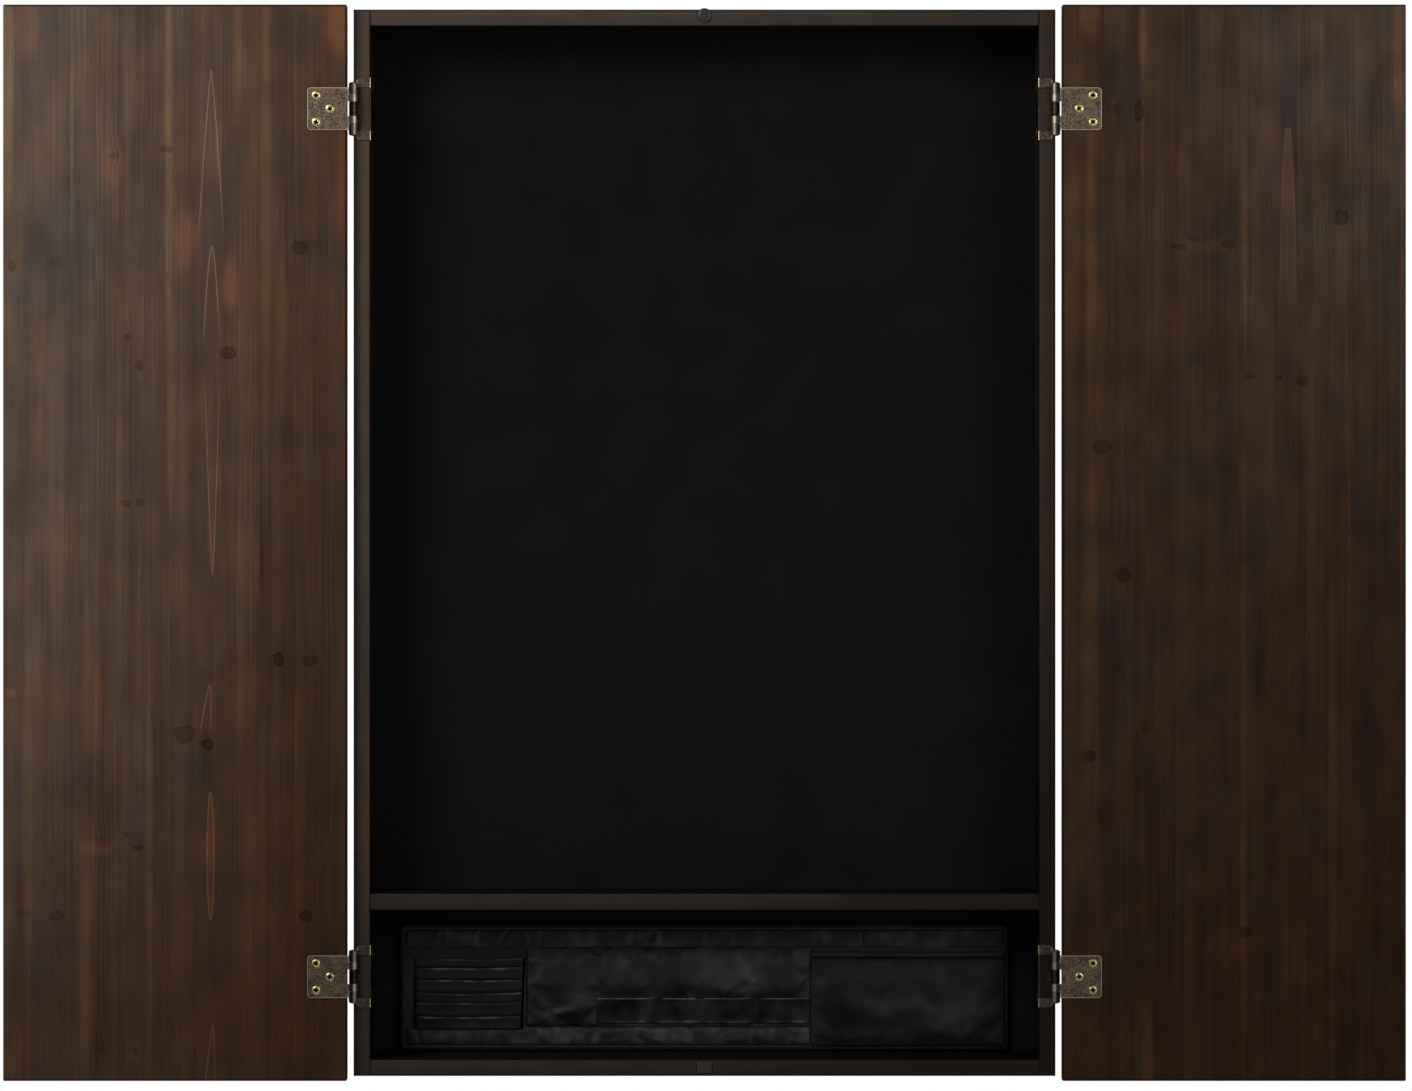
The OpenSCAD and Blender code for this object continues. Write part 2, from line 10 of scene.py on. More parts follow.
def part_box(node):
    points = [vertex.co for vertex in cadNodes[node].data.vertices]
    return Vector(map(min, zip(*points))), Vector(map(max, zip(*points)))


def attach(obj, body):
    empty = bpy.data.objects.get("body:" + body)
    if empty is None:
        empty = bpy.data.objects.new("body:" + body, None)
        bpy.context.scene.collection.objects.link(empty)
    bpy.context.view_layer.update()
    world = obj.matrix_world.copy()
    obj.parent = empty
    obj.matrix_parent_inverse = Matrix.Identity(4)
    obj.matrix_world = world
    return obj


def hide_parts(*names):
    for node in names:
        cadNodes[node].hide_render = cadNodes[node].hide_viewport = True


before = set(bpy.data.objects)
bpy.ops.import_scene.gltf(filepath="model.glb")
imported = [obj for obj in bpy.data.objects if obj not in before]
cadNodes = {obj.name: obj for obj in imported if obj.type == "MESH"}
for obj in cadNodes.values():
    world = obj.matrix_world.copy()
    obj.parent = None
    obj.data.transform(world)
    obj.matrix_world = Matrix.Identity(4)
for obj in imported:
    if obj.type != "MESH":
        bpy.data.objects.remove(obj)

scene = bpy.context.scene
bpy.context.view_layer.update()  # brings the scene up to date before anything is added
mm = 0.001
print("frame loaded:", len(cadNodes), "nodes")


# colours, node trees and plain meshes

def tone(red, green, blue):
    # a colour as a screen shows it, 0 to 255, as a shader wants it
    parts = [c / 255 for c in (red, green, blue)]
    return tuple(c / 12.92 if c < 0.04045 else ((c + 0.055) / 1.055) ** 2.4 for c in parts) + (1.0,)


class Net:
    # adds nodes to one tree and joins them up; a value is a socket or a constant
    def __init__(self, tree):
        self.tree = tree

    def feed(self, socket, value):
        if isinstance(value, bpy.types.NodeSocket):
            self.tree.links.new(value, socket)
        else:
            socket.default_value = value

    def add(self, kind, inputs=None, **settings):
        node = self.tree.nodes.new(kind)
        for key, value in settings.items():
            setattr(node, key, value)
        for key, value in (inputs or {}).items():
            self.feed(node.inputs[key], value)
        return node

    def first(self, kind, inputs=None, **settings):
        # a new node's first output
        return self.add(kind, inputs, **settings).outputs[0]

    def math(self, operation, *values, clamp=False):
        inputs = dict(enumerate(values))
        return self.first("ShaderNodeMath", inputs, operation=operation, use_clamp=clamp)

    plus, minus = partialmethod(math, "ADD"), partialmethod(math, "SUBTRACT")
    times, over = partialmethod(math, "MULTIPLY"), partialmethod(math, "DIVIDE")
    most, least = partialmethod(math, "MAXIMUM"), partialmethod(math, "MINIMUM")
    size, power = partialmethod(math, "ABSOLUTE"), partialmethod(math, "POWER")
    sine, root = partialmethod(math, "SINE"), partialmethod(math, "SQRT")
    line = partialmethod(math, "MULTIPLY_ADD")  # value, slope, start
    above = partialmethod(math, "GREATER_THAN")

    def vector(self, operation, *values):
        return self.first("ShaderNodeVectorMath", dict(enumerate(values)), operation=operation)

    def scaled(self, vector, factor):
        return self.first("ShaderNodeVectorMath", {0: vector, "Scale": factor}, operation="SCALE")

    def join(self, x, y, z):
        return self.first("ShaderNodeCombineXYZ", {0: x, 1: y, 2: z})

    def split(self, vector):
        return self.add("ShaderNodeSeparateXYZ", {0: vector}).outputs[:3]

    def named(self, attribute):
        return self.add("ShaderNodeAttribute", attribute_name=attribute).outputs["Fac"]

    def noise(self, vector, scale=1.0, detail=2.0, rough=0.5):
        inputs = {"Vector": vector, "Scale": scale, "Detail": detail, "Roughness": rough}
        return self.add("ShaderNodeTexNoise", inputs).outputs["Fac"]

    def between(self, value, low, high, toLow=0.0, toHigh=1.0, smooth=False):
        kind = "SMOOTHSTEP" if smooth else "LINEAR"
        inputs = {0: value, 1: low, 2: high, 3: toLow, 4: toHigh}
        return self.first("ShaderNodeMapRange", inputs, interpolation_type=kind)

    def soft(self, value, low, high, toLow=0.0, toHigh=1.0):
        return self.between(value, low, high, toLow, toHigh, smooth=True)

    def blend(self, share, first, second):
        return self.add("ShaderNodeMix", {0: share, 6: first, 7: second}, data_type="RGBA").outputs[2]

    def group(self, tree, **inputs):
        return self.add("ShaderNodeGroup", inputs, node_tree=tree).outputs

    def ramp(self, value, stops):
        # stops are (place, colour), in order
        node = self.add("ShaderNodeValToRGB", {0: value})
        line = node.color_ramp.elements
        for element, (at, colour) in zip((line[0], line[-1]), (stops[0], stops[-1])):
            element.position, element.color = at, colour
        for at, colour in stops[1:-1]:
            line.new(at).color = colour
        return node.outputs[0]

    def bump(self, height, depth, strength=1.0, **before):
        inputs = dict(before, Height=height, Distance=depth, Strength=strength)
        return self.first("ShaderNodeBump", inputs)

    def chance(self, low, high, seed):
        # a random number for each instance
        inputs = {2: low, 3: high, "Seed": seed}
        return self.add("FunctionNodeRandomValue", inputs, data_type="FLOAT").outputs[1]


def shaderGroup(name, inputs, outputs):
    # inputs is {name: default}; a three-number default makes a vector socket
    tree = bpy.data.node_groups.new(name, "ShaderNodeTree")
    for label, default in inputs.items():
        kind = "NodeSocketVector" if isinstance(default, tuple) else "NodeSocketFloat"
        socket = tree.interface.new_socket(name=label, in_out="INPUT", socket_type=kind)
        socket.default_value = default
    for label in outputs:
        tree.interface.new_socket(name=label, in_out="OUTPUT", socket_type="NodeSocketFloat")
    net = Net(tree)
    return net, net.add("NodeGroupInput").outputs, net.add("NodeGroupOutput").inputs


def newMaterial(name):
    material = bpy.data.materials.new(name)
    material.use_nodes = True
    net = Net(material.node_tree)
    shader = material.node_tree.nodes["Principled BSDF"]
    place = net.add("ShaderNodeTexCoord").outputs["Object"]
    return material, net, shader, place


def coat(net, shader, colour, rough, gloss=None, bump=None):
    # the finish of one surface: its colour, roughness, gloss and fine relief
    net.feed(shader.inputs["Base Color"], colour)
    net.feed(shader.inputs["Roughness"], rough)
    if gloss is not None:
        net.feed(shader.inputs["Specular IOR Level"], gloss)
    if bump:
        net.feed(shader.inputs["Normal"], bump)


def newObject(name, data):
    thing = bpy.data.objects.new(name, data)
    scene.collection.objects.link(thing)
    return thing


def meshObject(name, points, faces, material=None, edges=()):
    mesh = bpy.data.meshes.new(name)
    mesh.from_pydata([tuple(p) for p in points], edges, [tuple(f) for f in faces])
    mesh.update()
    mesh.shade_smooth()
    if material:
        mesh.materials.append(material)
    return newObject(name, mesh)


def applyModifiers(thing):
    # leaves the evaluated result as a plain mesh on the same object
    shown = thing.evaluated_get(bpy.context.evaluated_depsgraph_get())
    result = bpy.data.meshes.new_from_object(shown)
    thing.modifiers.clear()
    thing.data = result
    return thing


def finishPiece(thing, body, slotName, *replaced):
    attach(thing, body)
    if replaced:
        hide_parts(*replaced)


def dress(node, material):
    # a CAD node keeps its shape and takes a better material
    mesh = cadNodes[node].data
    mesh.materials.clear()
    mesh.materials.append(material)
    mesh.shade_smooth()
    mesh.set_sharp_from_angle(angle=math.radians(32))


# camera, light and floor

view = dict(centreX=1.2 * mm, centreZ=-381.2 * mm, planeY=-90.5 * mm, distance=5.0, width=1129.6 * mm)


def buildView():
    camera = newObject("camera", bpy.data.cameras.new("camera"))
    camera.location = (view["centreX"], view["planeY"] - view["distance"], view["centreZ"])
    camera.rotation_euler = (math.pi / 2, 0, 0)
    camera.data.sensor_width = 36
    camera.data.lens = 36 * view["distance"] / view["width"]
    camera.data.clip_end = 40
    scene.camera = camera


studio = dict(
    # each softbox is its place, what it faces, its two sides and its power
    key=((-1.75, -2.35, 1.05), (0, 0, -0.35), (1.2, 1.2), 73),
    fill=((1.9, -2.6, 0.3), (0, 0, -0.4), (1.4, 1.8), 32),
    ambient=0.26, roomGlow=0.12, floorZ=-2.05, floorReach=8, floorLift=0.52)


def softbox(name, place, aim, size, power):
    lamp = bpy.data.lights.new(name, "AREA")
    lamp.shape = "RECTANGLE"
    lamp.size, lamp.size_y = size
    lamp.energy = power
    thing = newObject(name, lamp)
    thing.location = place
    thing.rotation_euler = (Vector(aim) - Vector(place)).to_track_quat("-Z", "Y").to_euler()


def buildLight():
    # white to the camera, dimmer to the object, and dim in front to whatever mirrors it
    softbox("keySoftbox", *studio["key"])
    softbox("fillSoftbox", *studio["fill"])
    world = bpy.data.worlds.new("studio")
    scene.world = world
    world.use_nodes = True
    net = Net(world.node_tree)
    ray = net.add("ShaderNodeLightPath").outputs
    forward = net.split(net.add("ShaderNodeTexCoord").outputs["Generated"])[1]
    mirrored = net.most(ray["Is Glossy Ray"], ray["Is Transmission Ray"])
    behind = net.soft(forward, -0.2, 0.35, studio["roomGlow"])
    seen = net.most(ray["Is Camera Ray"], net.times(mirrored, behind))
    background = world.node_tree.nodes["Background"].inputs
    background["Color"].default_value = (1, 1, 1, 1)
    net.feed(background["Strength"], net.most(seen, studio["ambient"]))
    scene.view_settings.view_transform = "Standard"


def buildFloor():
    z, reach = studio["floorZ"], studio["floorReach"]
    corners = [(-reach, -reach, z), (reach, -reach, z), (reach, reach, z), (-reach, reach, z)]
    floor = meshObject("floor", corners, [(0, 1, 2, 3)])
    material, net, shader, place = newMaterial("paleFloor")
    coat(net, shader, tone(240, 240, 238), 0.9)
    # paler for the camera alone, and clear from below, so that the cabinet's underside shows
    shader.inputs["Emission Color"].default_value = tone(240, 240, 238)
    seen = net.add("ShaderNodeLightPath").outputs["Is Camera Ray"]
    net.feed(shader.inputs["Emission Strength"], net.times(seen, studio["floorLift"]))
    under = net.add("ShaderNodeNewGeometry").outputs["Backfacing"]
    clear = net.first("ShaderNodeBsdfTransparent")
    mixed = net.first("ShaderNodeMixShader", {0: under, 1: shader.outputs[0], 2: clear})
    net.feed(material.node_tree.nodes["Material Output"].inputs["Surface"], mixed)
    floor.data.materials.append(material)


buildView()
buildLight()
buildFloor()
print("camera, light and floor made")


# stained pine: growth rings, knots, edges

def makeRingGroup():
    # rings cut by a board's face: nested flames where the pith lies only Depth rings behind it
    names = {"Across": 0.0, "Deep": 0.0, "Along": 0.0, "Pith": 0.0, "Depth": 6.0, "Phase": 0.0,
             "Spacing": 0.0034, "Swell": 0.0}
    net, use, give = shaderGroup("pineRings", names, ("Line",))
    seedZ = net.times(use["Phase"], 3.17)
    drift = net.noise(net.join(seedZ, 0.0, use["Along"]), 2.6, 2)
    wobble = net.noise(net.join(net.times(use["Across"], 16), seedZ, use["Along"]), 14, 3, 0.6)
    sway = net.line(drift, 0.012, net.line(wobble, 0.0016, -0.0068))
    across = net.plus(net.minus(use["Across"], use["Pith"]), sway)
    far = net.over(across, use["Spacing"])
    deep = net.plus(net.over(use["Deep"], use["Spacing"]), use["Depth"])
    radius = net.root(net.plus(net.times(far, far), net.times(deep, deep)))
    slow = net.sine(net.line(radius, 1.3, use["Phase"]))
    quick = net.sine(net.line(radius, 3.1, net.times(use["Phase"], 2.0)))
    turns = net.plus(net.line(slow, 0.3, radius), net.line(quick, 0.12, use["Swell"]))
    part = net.math("FRACT", turns)
    rise = net.power(part, 4.0)
    fall = net.soft(part, 0.93, 1.0, 1.0, 0.0)
    year = net.plus(net.math("FLOOR", turns), seedZ)
    strength = net.first("ShaderNodeTexWhiteNoise", {"W": year}, noise_dimensions="1D")
    weight = net.between(strength, 0.0, 1.0, 0.15, 1.0)
    net.feed(give["Line"], net.times(net.times(rise, fall), weight))
    return net.tree


def makeKnotGroup():
    # how far the rings swell round a knot, its core, and the dark line round it
    names = {"Across": 0.0, "Along": 0.0, "X": 0.0, "Z": 0.0, "Width": 0.006, "Height": 0.006}
    net, use, give = shaderGroup("pineKnot", names, ("Swell", "Core", "Rim", "Halo"))
    dx = net.over(net.minus(use["Across"], use["X"]), use["Width"])
    dz = net.over(net.minus(use["Along"], use["Z"]), use["Height"])
    squareX, squareZ = net.times(dx, dx), net.times(dz, dz)
    reach = net.root(net.plus(squareX, squareZ))
    wide = net.line(squareZ, 0.1, squareX)
    net.feed(give["Swell"], net.over(0.9, net.power(net.line(wide, 0.3, 1.0), 2.0)))
    net.feed(give["Core"], net.soft(reach, 0.5, 1.4, 1.0, 0.0))
    ring = net.size(net.minus(reach, 0.95))
    net.feed(give["Rim"], net.soft(ring, 0.0, 0.36, 1.0, 0.0))
    around = net.line(squareZ, 0.5, net.times(squareX, 0.1))
    net.feed(give["Halo"], net.soft(around, 0.1, 1.3, 1.0, 0.0))
    return net.tree


def makeFlameGroup():
    # one growth ring cut as a flame: a thin line round it, open at the far end or closed as a lens
    names = {"Across": 0.0, "Along": 0.0, "X": 0.0, "Tip": 0.0, "Reach": -0.1, "Half": 0.01,
             "Power": 0.6, "Closed": 0.0, "Lean": 0.0}
    net, use, give = shaderGroup("pineFlame", names, ("Line", "Fill"))
    far = net.over(net.minus(use["Along"], use["Tip"]), use["Reach"])
    part = net.plus(far, 0.0, clamp=True)
    within = net.math("LESS_THAN", net.size(net.minus(far, 0.5)), 0.5)
    shut = net.minus(1.0, net.times(use["Closed"], part))
    half = net.times(use["Half"], net.power(net.times(part, shut), use["Power"]))
    centre = net.line(use["Lean"], part, use["X"])
    out = net.minus(net.size(net.minus(use["Across"], centre)), half)
    fade = net.most(use["Closed"], net.soft(part, 0.55, 1.0, 1.0, 0.0))
    shown = net.times(within, fade)
    thin = net.soft(net.size(out), 0.15 * mm, 0.75 * mm, 1.0, 0.0)
    net.feed(give["Line"], net.times(shown, thin))
    ripe = net.most(use["Closed"], net.soft(part, 0.05, 0.5, 1.0, 0.4))
    inside = net.between(out, -0.6 * mm, 0.0, 1.0, 0.0)
    net.feed(give["Fill"], net.times(net.times(shown, ripe), inside))
    return net.tree


def makeEdgeGroup():
    # 1 on a box's edges and corners, 0 once Reach from them
    names = {"Place": (0.0, 0.0, 0.0), "Low": (0.0, 0.0, 0.0), "High": (1.0, 1.0, 1.0), "Reach": 0.002}
    net, use, give = shaderGroup("boxEdge", names, ("Edge",))
    fromLow = net.vector("SUBTRACT", use["Place"], use["Low"])
    fromHigh = net.vector("SUBTRACT", use["High"], use["Place"])
    x, y, z = net.split(net.vector("MINIMUM", fromLow, fromHigh))
    inner = net.most(net.least(x, y), net.least(net.most(x, y), z))
    share = net.minus(1.0, net.over(inner, use["Reach"]), clamp=True)
    net.feed(give["Edge"], net.power(share, 0.6))
    return net.tree


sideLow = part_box("right_side")[0]
caseInner = dict(halfWidth=sideLow.x, front=sideLow.y, top=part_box("top_board")[0].z,
                 bottom=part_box("bottom_board")[1].z)


def makeInsideGroup():
    # 1 on the case's inner faces, behind its front edge, and 0 outside: where painted shade darkens them
    net, use, give = shaderGroup("caseInside", {"Place": (0.0, 0.0, 0.0)}, ("Inside",))
    x, y, z = net.split(use["Place"])

    def within(value, limit):
        return net.soft(net.minus(limit, value), -0.9 * mm, -0.2 * mm)
    sides = net.times(within(net.size(x), caseInner["halfWidth"]), within(z, caseInner["top"]))
    behind = net.soft(net.minus(y, caseInner["front"]), 0.5 * mm, 1.6 * mm)
    ends = net.times(within(net.times(z, -1.0), -caseInner["bottom"]), behind)
    net.feed(give["Inside"], net.times(sides, ends))
    return net.tree


ringGroup = makeRingGroup()
knotGroup = makeKnotGroup()
flameGroup = makeFlameGroup()
edgeGroup = makeEdgeGroup()
insideGroup = makeInsideGroup()


def ovalOn(net, across, along, x, z, width, height):
    # an oval spot on a board, all in mm
    return net.group(knotGroup, Across=across, Along=along, X=x * mm, Z=z * mm, Width=width * mm,
                     Height=height * mm)


def coverOf(net, across, along, spots, cover=0.0):
    # how strongly a place lies in any of the soft spots
    for *oval, share in spots:
        cover = net.most(cover, net.times(ovalOn(net, across, along, *oval)["Core"], share))
    return cover


def knotsOf(net, across, along, knots):
    # how far the rings swell round the knots, and their cores, rims and halos
    swell, core, rim, halo = 0.0, 0.0, 0.0, 0.0
    bend = net.line(net.noise(net.join(across, 0.0, along), 95, 2), 6 * mm, -3 * mm)
    bentAcross, bentAlong = net.plus(across, bend), net.minus(along, bend)
    for *oval, share in knots:
        knot = ovalOn(net, bentAcross, bentAlong, *oval)
        swell = net.plus(swell, knot["Swell"])
        core = net.most(core, net.times(knot["Core"], share * 0.65))
        rim = net.most(rim, net.times(knot["Rim"], share))
        halo = net.most(halo, net.times(knot["Halo"], 0.2 + share * 0.4))
    return swell, core, rim, halo


def flamesOf(net, across, along, flames):
    # the lines round the flames, and what glows inside them
    line, fill = 0.0, 0.0
    for x, tip, reach, half, power, closed, lean, share in flames:
        flame = net.group(flameGroup, Across=across, Along=along, X=x * mm, Tip=tip * mm, Reach=reach * mm,
                          Half=half * mm, Power=power, Closed=closed, Lean=lean * mm)
        line = net.most(line, flame["Line"])
        fill = net.most(fill, net.times(flame["Fill"], share))
    return line, fill


def stainAndPaintedShadeOver(net, board, across, along, length):
    # how dark and how warm the stain dried, with painted shade mixed in where the light falls off, from one
    # end of the board to the other, at half strength
    columns = []
    for column in board["stainAndPaintedShade"]:
        stops = [(at, (shade * (1 + warmth) / 2, shade / 2, shade * (1 - warmth) / 2, 1))
                 for at, (shade, warmth) in zip(board["stainAndPaintedShadeAlong"], column)]
        columns.append(net.ramp(net.over(along, length), stops))
    if len(columns) == 1:
        return columns[0]
    near, far = board["stainAndPaintedShadeAcross"]
    return net.blend(net.between(across, near * mm, far * mm), *columns)


def pineMaterial(name, board):
    # one board: its box, which way its grain runs, its glued staves, knots and stain
    material, net, shader, place = newMaterial(name)
    low, high = board["box"]
    px, py, pz = net.split(place)
    if board["grain"] == "z":
        across, along, length = net.minus(px, low.x), net.minus(pz, low.z), high.z - low.z
    else:
        across, along, length = net.minus(pz, low.z), net.minus(px, low.x), high.x - low.x
    deep = net.minus(py, low.y)
    swell = 0.0
    if board.get("knots"):
        swell, core, rim, halo = knotsOf(net, across, along, board["knots"])
    # each stave is (start, pith, depth, phase, shade): its own rings, and its own way with the stain
    pith, depth, phase, shade = board["staves"][0][1:]
    pith = pith * mm
    for start, nextPith, *others in board["staves"][1:]:
        past = net.above(across, start * mm)
        changes = zip((pith, depth, phase, shade), (nextPith * mm, *others))
        mixed = [net.first("ShaderNodeMix", {0: past, 2: old, 3: new}) for old, new in changes]
        pith, depth, phase, shade = mixed
    depth = net.plus(depth, net.line(net.noise(net.join(0.0, phase, along), 4.0, 2), 1.6, -0.8))
    line = net.group(ringGroup, Across=across, Deep=deep, Along=along, Pith=pith, Depth=depth, Phase=phase,
                     Spacing=board["spacing"] * mm, Swell=swell)["Line"]

    def streak(fine, lengthwise, detail):
        spot = net.join(net.line(across, fine, phase), net.times(deep, fine), net.times(along, lengthwise))
        return net.noise(spot, 1.0, detail, 0.55)
    band, fibre, cloud, warmth = streak(75, 2.0, 3), streak(850, 14, 3), streak(15, 5, 2), streak(27, 9, 3)
    pores, blotch, hue = streak(330, 5, 2), streak(34, 20, 3), streak(44, 17, 4)
    lightness = net.between(net.line(pores, 0.42, net.times(band, 0.62)), 0.32, 0.72)
    colour = net.blend(lightness, board["dark"], board["light"])
    colour = net.blend(net.times(net.soft(warmth, 0.45, 0.78), board["warmShare"]), colour, board["warm"])
    coolness = net.times(net.soft(cloud, 0.55, 0.75), board["coolShare"])
    coolness = coverOf(net, across, along, board.get("patches", ()), coolness)
    colour = net.blend(coolness, colour, board["cool"])
    # blush spots are the wood's own blush on the doors, and painted shade beside the hinges on the left stile
    for kind in ("strip", "blushAndPaintedShade"):
        if board.get(kind + "Spots"):
            colour = net.blend(coverOf(net, across, along, board[kind + "Spots"]), colour, board[kind])
    shown = net.times(net.soft(streak(45, 7, 2), 0.38, 0.62, 0.15, 1.0), board["lineShare"])
    colour = net.blend(net.times(line, shown), colour, board["line"])
    if board.get("flames"):
        flame, fill = flamesOf(net, across, along, board["flames"])
        colour = net.blend(fill, colour, board["glow"])
        colour = net.blend(net.times(flame, board["flameShare"]), colour, board["flameLine"])
    if board.get("knots"):
        colour = net.blend(halo, colour, net.vector("MULTIPLY", colour, board["halo"]))
    mottled = net.between(blotch, 0.32, 0.68, 1 - board["mottle"], 1 + board["mottle"])
    grainy = net.times(net.between(fibre, 0.25, 0.75, 0.87, 1.13), net.times(shade, mottled))
    if board.get("sideFade"):
        fromAt, toAt, fromShade, toShade = board["sideFade"]
        grainy = net.times(grainy, net.soft(across, fromAt * mm, toAt * mm, fromShade, toShade))
    # painted shade on the case's inner faces, where the light from the front barely reaches
    if board.get("paintedInsideShade"):
        inside = net.group(insideGroup, Place=place)["Inside"]
        grainy = net.times(grainy, net.between(inside, 0.0, 1.0, 1.0, board["paintedInsideShade"]))
    # the stain's own tones together with painted shade, darker where the light falls off
    if board.get("stainAndPaintedShade"):
        colour = net.vector("MULTIPLY", colour, stainAndPaintedShadeOver(net, board, across, along, length))
        grainy = net.times(grainy, 2.0)  # the tints are at half strength
    swing = board["hueSwing"]
    cooler, warmer = (1 - swing, 1.0, 1 + 0.8 * swing, 1.0), (1 + swing, 1.0, 1 - 0.8 * swing, 1.0)
    colour = net.vector("MULTIPLY", colour, net.blend(net.between(hue, 0.3, 0.7), cooler, warmer))
    colour = net.scaled(colour, grainy)
    if board.get("knots"):
        colour = net.blend(net.most(core, rim), colour, net.vector("MULTIPLY", colour, board["knot"]))
    bare, clear = board.get("bareEdges", ""), 20 * mm  # the sides whose edges stay as pale as the face
    edgeLow = (low.x - clear * ("-x" in bare), low.y, low.z - clear * ("-z" in bare))
    edgeHigh = (high.x + clear * ("+x" in bare), high.y, high.z + clear * ("+z" in bare))
    reach = board["edgeReach"] * mm
    edge = net.group(edgeGroup, Place=place, Low=edgeLow, High=edgeHigh, Reach=reach)["Edge"]
    colour = net.blend(net.times(edge, board["edgeShare"]), colour, board["edge"])
    rough = net.between(net.plus(line, fibre), 0.2, 1.4, 0.6, 0.46)
    coat(net, shader, colour, rough, board["gloss"], net.bump(fibre, 0.05 * mm, 0.6))
    return material


copying = dict(merge=1e-6, flat=0.5, bevelFrom=34, segments=2, profile=0.55)  # angles in degrees


def mergedMesh(mesh, distance=copying["merge"]):
    # a mesh's own faces with their doubled corners merged
    body = bmesh.new()
    body.from_mesh(mesh)
    bmesh.ops.remove_doubles(body, verts=body.verts, dist=distance)
    return body


def byCorners(face):
    # one number from a face's lowest three corners
    low, middle, high = sorted(v.index for v in face.verts)[:3]
    return (low * 100000 + middle) * 100000 + high


def partCopy(node, name, material, width=0.0, sharpFrom=38):
    # the CAD part's own shape, shaded smoothly round its rounded edges and flat on its flats;
    # width breaks its sharp edges, and marks them as worn
    body = mergedMesh(cadNodes[node].data)
    flat = math.radians(copying["flat"])
    bmesh.ops.dissolve_limit(body, angle_limit=flat, verts=body.verts, edges=body.edges)
    if width:
        layer = body.faces.layers.float.new("wear")
        folds = [e for e in body.edges if len(e.link_faces) == 2]
        sharp = [e for e in folds if e.calc_face_angle() > math.radians(copying["bevelFrom"])]
        made = bmesh.ops.bevel(body, geom=sharp, offset=width * mm, segments=copying["segments"],
                               profile=copying["profile"], affect="EDGES", clamp_overlap=True)
        for face in made["faces"]:
            face[layer] = 1.0
    bmesh.ops.triangulate(body, faces=[f for f in body.faces if len(f.verts) > 4])
    body.verts.index_update()
    body.faces.sort(key=byCorners)  # so that they come in the same order each run
    mesh = bpy.data.meshes.new(name)
    body.to_mesh(mesh)
    body.free()
    mesh.transform(cadNodes[node].matrix_world)
    mesh.shade_smooth()
    mesh.set_sharp_from_angle(angle=math.radians(sharpFrom))
    mesh.materials.append(material)
    thing = newObject(name, mesh)
    weighted = thing.modifiers.new("weighted", "WEIGHTED_NORMAL")
    weighted.mode, weighted.weight, weighted.keep_sharp = "FACE_AREA", 100, True
    return applyModifiers(thing)
